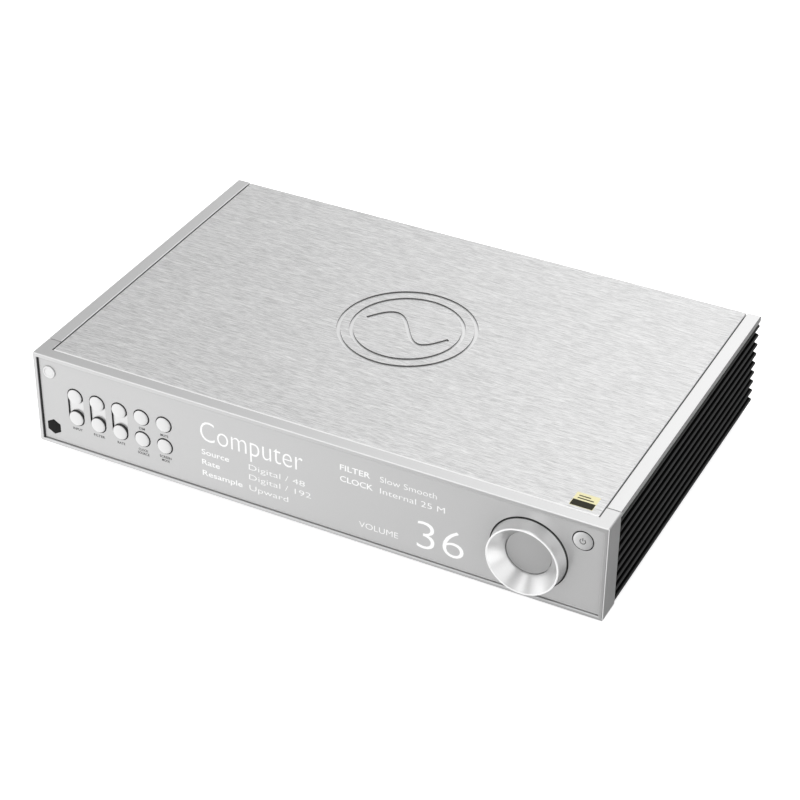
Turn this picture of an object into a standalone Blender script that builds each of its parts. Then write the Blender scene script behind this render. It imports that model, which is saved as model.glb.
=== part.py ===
"""Full-width desktop digital-to-analogue converter, modelled as the pieces it comes apart into.

Frame: +X to the right as seen from the front, +Y to the rear, +Z up. The origin is on the
surface that the feet stand on, under the middle of the case. The meshes are drawn in
millimetres and scaled to metres when an object is made.
"""

import math

import bmesh
import bpy
from mathutils import Matrix, Vector

MM = 0.001
GAP = 0.3  # air between touching pieces

# ---- driving dimensions, in millimetres ----
WIDTH = 430.0
DEPTH = 280.0
HEIGHT = 74.0
FOOT_HEIGHT = 9.0

FRONT = -DEPTH / 2
BACK = DEPTH / 2
BASE = FOOT_HEIGHT
TOP = BASE + HEIGHT
HALF = WIDTH / 2

BORDER = 3.0  # face of the bezel around the front panel
BEZEL_DEPTH = 20.5
STRIP = 9.0  # bezel in front of the top cover
PANEL_RECESS = 1.5
PANEL_THICK = 3.0
LEDGE = 4.0  # inner lip that the front panel seats on
GASKET = 0.3  # black strip between bezel and front panel
RAIL_WIDTH = 10.5
RAIL_LIP = 4.0
SHEET = 3.0  # top cover and rear panel
PAN_SHEET = 2.0

PANEL_Y = FRONT + PANEL_RECESS
PANEL_BACK = PANEL_Y + PANEL_THICK
RECESS_FLOOR = PANEL_BACK + GAP
BEZEL_BACK = FRONT + BEZEL_DEPTH
REAR_FACE = BACK - GAP

BUTTON_PITCH = 18.0
BUTTON_X = -182.9
BUTTON_ROWS = (BASE + 46.0, BASE + 28.0)  # upper row, lower row
BUTTON_R = 5.7
BUTTON_HOLE_R = 6.4
BUTTON_PROUD = 1.0
BUTTON_TRAVEL = 1.2
COLUMNS = ("input", "filter", "sampling")
SINGLES = (("dimmer", 3, 0), ("mute", 4, 0), ("clock", 3, 1), ("display", 4, 1))

KNOB_X, KNOB_Z = 161.4, BASE + 35.0
KNOB_HOLE_R = 27.6
KNOB_R = 26.9
KNOB_RIM_R = 25.4
KNOB_PROUD = 9.5  # ahead of the bezel face
KNOB_CAP_R = 15.9

POWER_X, POWER_Z = 197.8, BASE + 58.1
POWER_R = 6.8
POWER_HOLE_R = 7.5

WINDOW_X, WINDOW_Z, WINDOW_R = -203.0, BASE + 14.4, 5.9
BADGE_Z, BADGE_R = BASE + 60.4, 4.9

FIN_COUNT = 9
FIN_PITCH = 7.9
FIN_BASE = 6.2
FIN_REACH = 3.2
FIN_FIRST = BASE + 2.5  # height of the lowest rib
FIN_NOSE, FIN_FOOT = 1.3, 1.9  # half thickness of a rib at its tip and at its root

FEET = {"front_left": (-170, -100), "front_right": (170, -100),
        "rear_left": (-170, 100), "rear_right": (170, 100)}
FOOT_R, PAD_R = 18.0, 13.6

SOCKET_Z = BASE + 37.0
REAR_REACH = 9.5  # how far the rear sockets stand out
XLR_X = {"left": 170.0, "right": 132.0}
RCA_X = {"left": 96.0, "right": 72.0}
COAX_X, OPTICAL_X, USB_X, CLOCK_X = 38.0, 12.0, -16.0, -46.0
ROCKER_X, INLET_X = -112.0, -160.0
ROCKER_TILT = 8.0

EMBLEM_Y = FRONT + 148.0
EMBLEM_R = 50.0
EMBLEM_GROOVE, EMBLEM_DEPTH = 2.6, 0.6
WAVE_REACH, WAVE_SWING = 32.0, 15.0

# how far back each layer behind the keys lies
CARRIER_FRONT = PANEL_BACK + 0.4
CARRIER_BACK = CARRIER_FRONT + 1.2
PLUNGER_END = CARRIER_BACK + 3.4
SWITCH_TOP = PLUNGER_END + BUTTON_TRAVEL + 0.1
KEY_BOARD_Y = SWITCH_TOP + 1.0
KEY_BOARD_BACK = KEY_BOARD_Y + 1.6
SUBFRAME_Y = FRONT + 16.0
RIBBON_X = 60.0

SHUTTER_SIZE = 6.4
SHUTTER_PIVOT = (REAR_FACE + GAP + 2.2, SOCKET_Z + 3.1)  # y, z

BOARD_Z = BASE + 9.0
BOARD = (2.0, 186.0, 22.0, 122.0)  # x low, x high, y low, y high
BOARD_POSTS_X = (BOARD[0] + 6, BOARD[1] - 6)
BOARD_POSTS_Y = (BOARD[2] + 6, BOARD[3] - 6)


# ---- materials ----
def material(name, colour, metallic, roughness):
    made = bpy.data.materials.new(name)
    made.use_nodes = True
    shader = made.node_tree.nodes["Principled BSDF"]
    shader.inputs["Base Color"].default_value = (*colour, 1.0)
    shader.inputs["Metallic"].default_value = metallic
    shader.inputs["Roughness"].default_value = roughness
    return made


def make_materials():
    return {
        "satin": material("satin_aluminium", (0.78, 0.79, 0.79), 1.0, 0.35),
        "brushed": material("brushed_aluminium", (0.76, 0.76, 0.77), 1.0, 0.3),
        "panel": material("silver_panel", (0.68, 0.68, 0.68), 0.6, 0.4),
        "bright": material("bright_aluminium", (0.86, 0.86, 0.86), 1.0, 0.22),
        "fin": material("black_anodised", (0.015, 0.015, 0.016), 0.4, 0.45),
        "black": material("black_plastic", (0.02, 0.02, 0.02), 0.0, 0.5),
        "rubber": material("black_rubber", (0.03, 0.03, 0.03), 0.0, 0.8),
        "steel": material("zinc_steel", (0.55, 0.56, 0.58), 1.0, 0.4),
        "board": material("green_board", (0.03, 0.16, 0.08), 0.0, 0.5),
        "gold": material("gold_plate", (0.83, 0.62, 0.25), 1.0, 0.25),
        "glass": material("dark_window", (0.01, 0.01, 0.012), 0.0, 0.08),
        "copper": material("lacquered_copper", (0.55, 0.27, 0.12), 0.6, 0.35),
    }


# ---- outlines, as lists of (u, v) ----
def circle(u, v, radius, steps, start=0.0):
    turn = 2 * math.pi / steps
    return [(u + radius * math.cos(start + i * turn), v + radius * math.sin(start + i * turn))
            for i in range(steps)]


def stadium(u, v_low, v_high, radius, steps):
    """Upright slot with round ends. steps counts each end's pieces."""
    turn = math.pi / steps
    upper = [(u + radius * math.cos(i * turn), v_high + radius * math.sin(i * turn))
             for i in range(steps + 1)]
    lower = [(u - radius * math.cos(i * turn), v_low - radius * math.sin(i * turn))
             for i in range(steps + 1)]
    return upper + lower


def rectangle(u_low, v_low, u_high, v_high):
    return [(u_low, v_low), (u_high, v_low), (u_high, v_high), (u_low, v_high)]


# ---- solids, drawn in millimetres ----
AXES = {
    "x": lambda u, v, w: (w, u, v),  # outline in YZ, pushed along X
    "y": lambda u, v, w: (u, w, v),  # outline in XZ, pushed along Y
    "z": lambda u, v, w: (u, v, w),  # outline in XY, pushed along Z
}


def add_prism(bm, outline, low, high, axis="y"):
    """Pushes a flat outline from low to high along the axis."""
    corners = [bm.verts.new(AXES[axis](u, v, low)) for u, v in outline]
    face = bm.faces.new(corners)
    pushed = bmesh.ops.extrude_face_region(bm, geom=[face])
    moved = [g for g in pushed["geom"] if isinstance(g, bmesh.types.BMVert)]
    bmesh.ops.translate(bm, verts=moved, vec=AXES[axis](0, 0, high - low))


def add_box(bm, low, high):
    add_prism(bm, rectangle(low[0], low[1], high[0], high[1]), low[2], high[2], "z")


def add_turned(bm, profile, steps, centre=(0, 0, 0), facing="up"):
    """Turns a profile of (radius, height) about its axis. Ends at radius 0 close by themselves;
    a profile clear of the axis is a closed loop. facing is where its height points."""
    turns = {"up": Matrix.Identity(4), "front": Matrix.Rotation(math.radians(90), 4, "X"),
             "back": Matrix.Rotation(math.radians(-90), 4, "X")}
    piece = bmesh.new()
    points = [piece.verts.new((r, 0, h)) for r, h in profile]
    edges = [piece.edges.new(pair) for pair in zip(points, points[1:])]
    if profile[0][0] > 0:
        edges.append(piece.edges.new((points[-1], points[0])))
    bmesh.ops.spin(piece, geom=points + edges, cent=(0, 0, 0), axis=(0, 0, 1), steps=steps,
                   angle=2 * math.pi, use_merge=True)
    bmesh.ops.remove_doubles(piece, verts=piece.verts, dist=0.001)
    piece.transform(Matrix.Translation(centre) @ turns[facing])
    bmesh.ops.recalc_face_normals(piece, faces=piece.faces)
    mesh = bpy.data.meshes.new("turned")
    piece.to_mesh(mesh)
    piece.free()
    bm.from_mesh(mesh)
    bpy.data.meshes.remove(mesh)


def finished_mesh(name, bm, smooth=True):
    bmesh.ops.recalc_face_normals(bm, faces=bm.faces)
    bm.transform(Matrix.Scale(MM, 4))
    mesh = bpy.data.meshes.new(name)
    bm.to_mesh(mesh)
    bm.free()
    if smooth:
        mesh.shade_smooth()
        mesh.set_sharp_from_angle(angle=math.radians(35))
    return mesh


def place(name, mesh, finish, at=(0, 0, 0), parent=None):
    obj = bpy.data.objects.new(name, mesh)
    if not mesh.materials:
        mesh.materials.append(finish)
    bpy.context.scene.collection.objects.link(obj)
    obj.location = Vector(at) * MM
    if parent:
        obj.parent = parent
        obj.location = Vector(at) * MM - parent.location
    return obj


def solid(name, draw, finish, at=(0, 0, 0), parent=None):
    """One object from a drawing function that fills a bmesh."""
    bm = bmesh.new()
    draw(bm)
    return place(name, finished_mesh(name, bm), finish, at, parent)


def tool(name, draw, at=(0, 0, 0)):
    """A shape that cuts or joins another, and isn't itself a piece."""
    bm = bmesh.new()
    draw(bm)
    obj = bpy.data.objects.new(name, finished_mesh(name, bm))
    bpy.context.scene.collection.objects.link(obj)
    obj.location = Vector(at) * MM
    obj.hide_render = True
    obj.display_type = "WIRE"
    return obj


def combine(obj, other, operation):
    step = obj.modifiers.new(other.name, "BOOLEAN")
    step.object = other
    step.operation = operation
    step.solver = "EXACT"


def cut(obj, name, draw, at=(0, 0, 0)):
    combine(obj, tool(name, draw, at), "DIFFERENCE")


def add(obj, name, draw, at=(0, 0, 0)):
    combine(obj, tool(name, draw, at), "UNION")


def bevel(obj, width):
    step = obj.modifiers.new("edge", "BEVEL")
    step.width = width * MM
    step.segments = 1
    step.limit_method = "ANGLE"
    step.angle_limit = math.radians(50)


def axis_empty(name, at):
    empty = bpy.data.objects.new(name, None)
    bpy.context.scene.collection.objects.link(empty)
    empty.location = Vector(at) * MM
    return empty


# ---- enclosure ----
def front_bezel(mats):
    bezel = solid("front_bezel", lambda bm: add_box(
        bm, (-HALF, FRONT, BASE), (HALF, BEZEL_BACK, TOP)), mats["satin"])
    bevel(bezel, 0.6)
    cut(bezel, "bezel_recess", lambda bm: add_box(
        bm, (-HALF + BORDER, FRONT - 5, BASE + BORDER), (HALF - BORDER, RECESS_FLOOR, TOP - BORDER)))
    inner = BORDER + LEDGE
    cut(bezel, "bezel_window", lambda bm: add_box(
        bm, (-HALF + inner, FRONT - 5, BASE + inner), (HALF - inner, BEZEL_BACK + 5, TOP - inner)))
    seat = HALF - RAIL_WIDTH + GAP
    cut(bezel, "bezel_cover_seat", lambda bm: add_box(
        bm, (-seat, FRONT + STRIP, TOP - SHEET - GAP), (seat, BEZEL_BACK + 5, TOP + 5)))


def panel_gasket(mats):
    """Thin black strip lining the recess. It stands further forward at the left end."""
    outer_x, outer_low, outer_high = HALF - BORDER - GAP, BASE + BORDER + GAP, TOP - BORDER - GAP
    gasket = solid("panel_gasket", lambda bm: add_box(
        bm, (-outer_x, FRONT + 0.5, outer_low), (outer_x, PANEL_BACK, outer_high)),
        mats["rubber"])
    cut(gasket, "gasket_window", lambda bm: add_box(
        bm, (-outer_x + GASKET, FRONT - 5, outer_low + GASKET),
        (outer_x - GASKET, RECESS_FLOOR + 5, outer_high - GASKET)))
    cut(gasket, "gasket_relief", lambda bm: add_box(
        bm, (-outer_x + GASKET, FRONT - 5, BASE - 5), (outer_x + 5, PANEL_Y, TOP + 5)))


def column_x(index):
    return BUTTON_X + index * BUTTON_PITCH


def front_panel(mats):
    edge = BORDER + 2 * GAP + GASKET
    low, high = PANEL_Y, PANEL_BACK
    panel = solid("front_panel", lambda bm: add_box(
        bm, (-HALF + edge, low, BASE + edge), (HALF - edge, high, TOP - edge)), mats["panel"])

    def openings(bm):
        for i in range(len(COLUMNS)):
            add_prism(bm, stadium(column_x(i), BUTTON_ROWS[1], BUTTON_ROWS[0], BUTTON_HOLE_R, 12),
                      low - 5, high + 5)
        for _, column, row in SINGLES:
            add_prism(bm, circle(column_x(column), BUTTON_ROWS[row], BUTTON_HOLE_R, 24),
                      low - 5, high + 5)
        add_prism(bm, circle(POWER_X, POWER_Z, POWER_HOLE_R, 28), low - 5, high + 5)
        add_prism(bm, circle(KNOB_X, KNOB_Z, KNOB_HOLE_R, 48), low - 5, high + 5)
        add_prism(bm, circle(WINDOW_X, WINDOW_Z, WINDOW_R + GAP, 6, math.pi / 2),
                  low - 5, high + 5)

    cut(panel, "panel_openings", openings)


def top_cover(mats):
    """Flat plate with a ring and a wave cut into it."""
    side = HALF - RAIL_WIDTH - 0.1
    cover = solid("top_cover", lambda bm: add_box(
        bm, (-side, FRONT + STRIP + 0.4, TOP - SHEET), (side, REAR_FACE, TOP)), mats["brushed"])
    bevel(cover, 0.7)

    def ring(bm):
        for radius in (EMBLEM_R, EMBLEM_R - 9.0):
            add_turned(bm, [(radius - EMBLEM_GROOVE, -EMBLEM_DEPTH), (radius, -EMBLEM_DEPTH),
                            (radius, 5), (radius - EMBLEM_GROOVE, 5)], 56, (0, EMBLEM_Y, TOP))

    def wave(bm):
        reach, swing, steps = WAVE_REACH, WAVE_SWING, 28
        half = EMBLEM_GROOVE / 2
        line = [(-reach + 2 * reach * i / steps, i / steps) for i in range(steps + 1)]
        upper = [(x, EMBLEM_Y + half + swing * math.sin(2 * math.pi * t)) for x, t in line]
        lower = [(x, EMBLEM_Y - half + swing * math.sin(2 * math.pi * t)) for x, t in line]
        add_prism(bm, lower + upper[::-1], TOP - EMBLEM_DEPTH, TOP + 5, "z")

    cut(cover, "emblem_rings", ring)
    cut(cover, "emblem_wave", wave)


def side_rail(name, side, mats):
    """Silver rail along the top edge, with a lip that turns down over the fins."""
    inner, outer = HALF - RAIL_WIDTH + 0.3, HALF
    outline = [(inner, TOP - SHEET), (outer - 3, TOP - SHEET), (outer - 3, TOP - RAIL_LIP),
               (outer, TOP - RAIL_LIP), (outer, TOP - 0.5), (outer - 0.5, TOP),
               (inner + 0.3, TOP), (inner, TOP - 0.3)]
    solid(name, lambda bm: add_prism(
        bm, [(side * u, v) for u, v in outline], BEZEL_BACK + GAP, REAR_FACE), mats["satin"])


def fin_outline():
    """Section of the ribbed side: a flat back and round-nosed ribs, as (x, z) on the right side."""
    back = HALF - RAIL_WIDTH + 0.8
    root = back + FIN_BASE
    tip = root + FIN_REACH
    points = [(back, BASE), (root, BASE)]
    for i in range(FIN_COUNT):
        z = FIN_FIRST + i * FIN_PITCH
        points += [(root, z - FIN_FOOT), (tip - 0.8, z - FIN_NOSE), (tip - 0.2, z - 0.8 * FIN_NOSE),
                   (tip, z), (tip - 0.2, z + 0.8 * FIN_NOSE), (tip - 0.8, z + FIN_NOSE),
                   (root, z + FIN_FOOT)]
    points += [(root, TOP - SHEET - GAP), (back, TOP - SHEET - GAP)]
    return points


def fin_panel(name, side, mats):
    outline = [(side * x, z) for x, z in fin_outline()]
    solid(name, lambda bm: add_prism(bm, outline, BEZEL_BACK + GAP, REAR_FACE), mats["fin"])


def bottom_pan(mats):
    side = HALF - RAIL_WIDTH + 0.4
    pan = solid("bottom_pan", lambda bm: add_box(
        bm, (-side, BEZEL_BACK + GAP, BASE), (side, BACK - SHEET - 2 * GAP, BASE + PAN_SHEET)),
        mats["steel"])

    def posts(bm):
        for x in BOARD_POSTS_X:
            for y in BOARD_POSTS_Y:
                add_prism(bm, circle(x, y, 3.0, 10), BASE + 0.5, BOARD_Z - GAP, "z")

    def vents(bm):
        for row in range(2):
            for i in range(7):
                x = -72 + i * 24
                y = -88 + row * 150
                add_box(bm, (x - 1.5, y - 12, BASE - 5), (x + 1.5, y + 12, BASE + 5))

    add(pan, "board_posts", posts)
    cut(pan, "pan_vents", vents)


def rear_panel(mats):
    side = HALF - RAIL_WIDTH + 0.4
    low, high = BACK - SHEET, REAR_FACE
    panel = solid("rear_panel", lambda bm: add_box(
        bm, (-side, low, BASE + 0.1), (side, high, TOP - SHEET - GAP)), mats["satin"])

    def openings(bm):
        for x in XLR_X.values():
            add_prism(bm, circle(x, SOCKET_Z, 11.6, 28), low - 5, high + 5)
        for x in (*RCA_X.values(), COAX_X):
            add_prism(bm, circle(x, SOCKET_Z, 5.0, 20), low - 5, high + 5)
        add_prism(bm, circle(CLOCK_X, SOCKET_Z, 5.3, 20), low - 5, high + 5)
        add_prism(bm, rectangle(OPTICAL_X - 7, SOCKET_Z - 6.5, OPTICAL_X + 7, SOCKET_Z + 6.5),
                  low - 5, high + 5)
        add_prism(bm, rectangle(USB_X - 6.6, SOCKET_Z - 6.1, USB_X + 6.6, SOCKET_Z + 6.1),
                  low - 5, high + 5)
        add_prism(bm, rectangle(ROCKER_X - 7, SOCKET_Z - 11, ROCKER_X + 7, SOCKET_Z + 11),
                  low - 5, high + 5)
        add_prism(bm, rectangle(INLET_X - 14.2, SOCKET_Z - 15.4, INLET_X + 14.2, SOCKET_Z + 15.4),
                  low - 5, high + 5)

    cut(panel, "rear_openings", openings)


def foot(name, at, mats):
    """Turned ring with a pocket, and the rubber pad that sits in it."""
    x, y = at
    body = [(0, 3.6), (PAD_R + GAP, 3.6), (PAD_R + GAP, 1.2), (FOOT_R - 1.2, 1.2), (FOOT_R, 2.2),
            (FOOT_R, FOOT_HEIGHT - 1.5), (FOOT_R - 1.5, FOOT_HEIGHT - GAP), (0, FOOT_HEIGHT - GAP)]
    pad = [(0, 0), (PAD_R - 0.6, 0), (PAD_R, 0.6), (PAD_R, 3.3), (0, 3.3)]
    solid("foot_" + name, lambda bm: add_turned(bm, body, 28), mats["satin"], (x, y, 0))
    solid("foot_pad_" + name, lambda bm: add_turned(bm, pad, 24), mats["rubber"], (x, y, 0))


# ---- front controls ----
def key_bridge(name, column, mats):
    """Bright web that fills a paired slot between its two buttons."""
    x, (high_z, low_z) = column_x(column), BUTTON_ROWS
    front, back = PANEL_Y + 1.2, CARRIER_FRONT - GAP
    bridge = solid("key_bridge_" + name, lambda bm: add_prism(
        bm, stadium(x, low_z, high_z, BUTTON_HOLE_R - 0.5, 12), front, back), mats["bright"])

    def button_clearance(bm):
        for z in (low_z, high_z):
            add_prism(bm, circle(x, z, BUTTON_R + 0.4, 24), front - 5, back + 5)

    # The two circles cut the slot shape into its middle web and nothing else.
    cut(bridge, "bridge_clearance_" + name, button_clearance)
    cut(bridge, "bridge_ends_" + name, lambda bm: [
        add_box(bm, (x - 20, front - 6, low_z - 20), (x + 20, back + 6, low_z + 1.5)),
        add_box(bm, (x - 20, front - 6, high_z - 1.5), (x + 20, back + 6, high_z + 20))])


def button_mesh():
    """One push button, its height measured from the front face of the panel outwards."""
    carrier = PANEL_Y - CARRIER_BACK
    profile = [(0, BUTTON_PROUD), (BUTTON_R - 0.4, BUTTON_PROUD), (BUTTON_R, BUTTON_PROUD - 0.4),
               (BUTTON_R, carrier - GAP), (BUTTON_R + 1.2, carrier - GAP),
               (BUTTON_R + 1.2, carrier - 1.3), (2.0, carrier - 1.3),
               (2.0, PANEL_Y - PLUNGER_END), (0, PANEL_Y - PLUNGER_END)]
    bm = bmesh.new()
    add_turned(bm, profile, 20, facing="front")
    return finished_mesh("push_button", bm)


def push_buttons(mats):
    mesh = button_mesh()
    for column, name in enumerate(COLUMNS):
        for row, way in enumerate(("up", "down")):
            place(f"{name}_{way}_button", mesh, mats["bright"],
                  (column_x(column), PANEL_Y, BUTTON_ROWS[row]))
    for name, column, row in SINGLES:
        place(f"{name}_button", mesh, mats["bright"], (column_x(column), PANEL_Y, BUTTON_ROWS[row]))


def key_carrier(mats):
    low_x, high_x = column_x(0) - 10, column_x(4) + 10
    carrier = solid("key_carrier", lambda bm: add_box(
        bm, (low_x, CARRIER_FRONT, BUTTON_ROWS[1] - 10), (high_x, CARRIER_BACK, BUTTON_ROWS[0] + 10)),
        mats["black"])

    def guides(bm):
        for column in range(5):
            for z in BUTTON_ROWS:
                add_prism(bm, circle(column_x(column), z, BUTTON_R + 0.5, 16),
                          CARRIER_FRONT - 5, CARRIER_BACK + 5)

    cut(carrier, "key_guides", guides)


def key_board(mats):
    low_x, high_x = column_x(0) - 12, column_x(4) + 12
    board = solid("key_board", lambda bm: add_box(
        bm, (low_x, KEY_BOARD_Y, BUTTON_ROWS[1] - 12), (high_x, KEY_BOARD_BACK, BUTTON_ROWS[0] + 12)),
        mats["board"])

    def switches(bm):
        for column in range(5):
            for z in BUTTON_ROWS:
                x = column_x(column)
                add_box(bm, (x - 3, SWITCH_TOP, z - 3), (x + 3, KEY_BOARD_Y + 0.5, z + 3))

    add(board, "tact_switches", switches)


def power_control(mats):
    collar = POWER_HOLE_R + 0.9  # keeps it from falling out through the panel
    profile = [(0, 0.8), (POWER_R - 0.5, 0.8), (POWER_R, 0.3), (POWER_R, -PANEL_THICK - GAP),
               (collar, -PANEL_THICK - GAP), (collar, -4.5), (2.5, -4.5), (2.5, -8.0), (0, -8.0)]
    solid("power_button", lambda bm: add_turned(bm, profile, 28, facing="front"), mats["bright"],
          (POWER_X, PANEL_Y, POWER_Z))
    front = PANEL_Y + 8.0 + BUTTON_TRAVEL + 0.3
    solid("power_switch", lambda bm: add_box(
        bm, (POWER_X - 6.5, front, POWER_Z - 6.5),
        (POWER_X + 6.5, SUBFRAME_Y - GAP, POWER_Z + 6.5)), mats["black"])


def remote_window(mats):
    solid("remote_window", lambda bm: add_prism(
        bm, circle(WINDOW_X, WINDOW_Z, WINDOW_R, 6, math.pi / 2), PANEL_Y - 0.1, PANEL_BACK - 0.2),
        mats["glass"])


def badge(mats):
    profile = [(0, GAP), (BADGE_R, GAP), (BADGE_R, 0.7), (BADGE_R - 0.3, 1.0), (0, 1.0)]
    solid("badge", lambda bm: add_turned(bm, profile, 28, facing="front"), mats["bright"],
          (WINDOW_X, PANEL_Y, BADGE_Z))


def volume_control(mats):
    """Knob, cap and shaft turn together about the knob's axis; the encoder stays still."""
    axis = axis_empty("knob_axis", (KNOB_X, PANEL_Y, KNOB_Z))
    rim = PANEL_RECESS + KNOB_PROUD
    knob = [(KNOB_CAP_R + GAP, 0.4), (KNOB_RIM_R - 1.5, rim - 0.5), (KNOB_RIM_R - 1.1, rim),
            (KNOB_RIM_R - 0.5, rim), (KNOB_RIM_R, rim - 0.5), (KNOB_R - 0.4, 1.4), (KNOB_R, 0.4),
            (KNOB_R, -3.8), (6.5, -3.8), (6.5, -5.4), (3.3, -5.4), (3.3, -1.5),
            (KNOB_CAP_R + GAP, -1.5)]
    solid("volume_knob", lambda bm: add_turned(bm, knob, 48, facing="front"), mats["satin"],
          (KNOB_X, PANEL_Y, KNOB_Z), axis)
    cap = [(0, -1.2), (KNOB_CAP_R, -1.2), (KNOB_CAP_R, -0.5), (KNOB_CAP_R - 0.3, -0.2), (0, -0.2)]
    solid("knob_cap", lambda bm: add_turned(bm, cap, 40, facing="front"), mats["panel"],
          (KNOB_X, PANEL_Y, KNOB_Z), axis)
    end = SUBFRAME_Y - 3.0 - PANEL_Y
    shaft = [(0, -1.5), (3.0, -1.5), (3.0, -end), (0, -end)]
    solid("encoder_shaft", lambda bm: add_turned(bm, shaft, 16, facing="front"), mats["steel"],
          (KNOB_X, PANEL_Y, KNOB_Z), axis)
    nose, back = SUBFRAME_Y - 6.5, SUBFRAME_Y - GAP
    body = solid("encoder_body", lambda bm: add_box(
        bm, (KNOB_X - 7, nose, KNOB_Z - 7), (KNOB_X + 7, back, KNOB_Z + 7)), mats["black"])
    cut(body, "encoder_bore", lambda bm: add_prism(
        bm, circle(KNOB_X, KNOB_Z, 3.3, 16), nose - 5, SUBFRAME_Y - 2.5))


def front_subframe(mats):
    """Steel plate behind the panel that carries the encoder, the boards and the power switch."""
    side, low, high = HALF - BORDER - LEDGE - GAP, BASE + 7.5, TOP - 7.5
    plate = solid("front_subframe", lambda bm: add_box(
        bm, (-side, SUBFRAME_Y, low), (side, SUBFRAME_Y + 1.5, high)), mats["steel"])
    cut(plate, "cable_slot", lambda bm: add_box(
        bm, (RIBBON_X - 22, SUBFRAME_Y - 5, BASE + 10), (RIBBON_X + 22, SUBFRAME_Y + 5, BASE + 20)))


def display_module(mats):
    """Character display behind the panel: a glass front face on a board."""
    low_x, high_x, low_z, high_z = -94.0, 128.0, BASE + 9.0, BASE + 66.0
    module = solid("display_module", lambda bm: add_box(
        bm, (low_x, PANEL_BACK + 3.4, low_z), (high_x, PANEL_BACK + 5.0, high_z)), mats["board"])
    add(module, "display_glass", lambda bm: add_box(
        bm, (low_x + 4, PANEL_BACK + 0.6, low_z + 4), (high_x - 4, PANEL_BACK + 3.6, high_z - 4)))
    add(module, "display_plug", lambda bm: add_box(
        bm, (RIBBON_X - 21, PANEL_BACK + 4.8, low_z + 2), (RIBBON_X + 21, PANEL_BACK + 7.4, low_z + 8)))


def ribbon_cable(mats):
    """Flat cable from the display, through the subframe, to the main board."""
    thick = 0.5
    start_y, start_z = PANEL_BACK + 7.8, BASE + 14.0
    end_y, end_z = BOARD[2] + 10.0, BOARD_Z + 5.6
    low_z = BOARD_Z - 3.0
    line = [(start_y, start_z), (SUBFRAME_Y + 6, start_z)]
    steps = 8
    for i in range(1, steps + 1):
        t = i / steps
        ease = t * t * (3 - 2 * t)
        line.append((SUBFRAME_Y + 6 + 40 * t, start_z + (low_z - start_z) * ease))
    for i in range(1, steps + 1):
        t = i / steps
        ease = t * t * (3 - 2 * t)
        line.append((BOARD[2] - 52 + 48 * t, low_z + (end_z + 4 - low_z) * ease))
    line += [(end_y - 3, end_z + 4), (end_y, end_z + 2), (end_y, end_z)]
    normals = []
    for i in range(len(line)):
        before, after = line[max(i - 1, 0)], line[min(i + 1, len(line) - 1)]
        along = Vector((after[0] - before[0], after[1] - before[1])).normalized()
        normals.append((-along.y, along.x))
    upper = [(y + n[0] * thick / 2, z + n[1] * thick / 2) for (y, z), n in zip(line, normals)]
    lower = [(y - n[0] * thick / 2, z - n[1] * thick / 2) for (y, z), n in zip(line, normals)]
    solid("ribbon_cable", lambda bm: add_prism(
        bm, lower + upper[::-1], RIBBON_X - 18, RIBBON_X + 18, "x"), mats["black"])


# ---- boards and power inside ----
def main_board(mats):
    x0, x1, y0, y1 = BOARD
    board = solid("main_board", lambda bm: add_box(
        bm, (x0, y0, BOARD_Z), (x1, y1, BOARD_Z + 1.6)), mats["board"])
    low = BOARD_Z + 1.2

    def chips(bm):
        add_box(bm, (70, 46, low), (94, 70, BOARD_Z + 4))
        add_box(bm, (22, 48, low), (40, 66, BOARD_Z + 4))
        add_box(bm, (120, 52, low), (130, 62, BOARD_Z + 3.4))
        add_box(bm, (140, 52, low), (150, 62, BOARD_Z + 3.4))
        add_box(bm, (RIBBON_X - 21, y0 + 6, low), (RIBBON_X + 21, y0 + 13, BOARD_Z + 5.2))
        add_box(bm, (14, 84, low), (34, 98, BOARD_Z + 12))

    def cans(bm):
        for i in range(4):
            for j in range(2):
                add_prism(bm, circle(104 + i * 20, 82 + j * 18, 6.2, 14), low, BOARD_Z + 22, "z")

    add(board, "board_chips", chips)
    add(board, "board_cans", cans)


def power_supply(mats):
    """Folded steel can over the mains supply, open underneath."""
    low, high = (-196.0, -100.0, BASE + PAN_SHEET + GAP), (-96.0, 92.0, BASE + 50.0)
    can = solid("power_supply", lambda bm: add_box(bm, low, high), mats["steel"])
    wall = 1.5
    cut(can, "supply_hollow", lambda bm: add_box(
        bm, (low[0] + wall, low[1] + wall, low[2] - 5), (high[0] - wall, high[1] - wall, high[2] - wall)))


def toroidal_transformer(mats):
    reach, core, height = 25.0, 11.0, 15.0
    z = BASE + PAN_SHEET + GAP + height
    section = [(reach + core * math.cos(a), height * math.sin(a))
               for a in (2 * math.pi * i / 12 for i in range(12))]
    solid("toroidal_transformer", lambda bm: add_turned(bm, section, 28), mats["copper"],
          (-48, -40, z))


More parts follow.
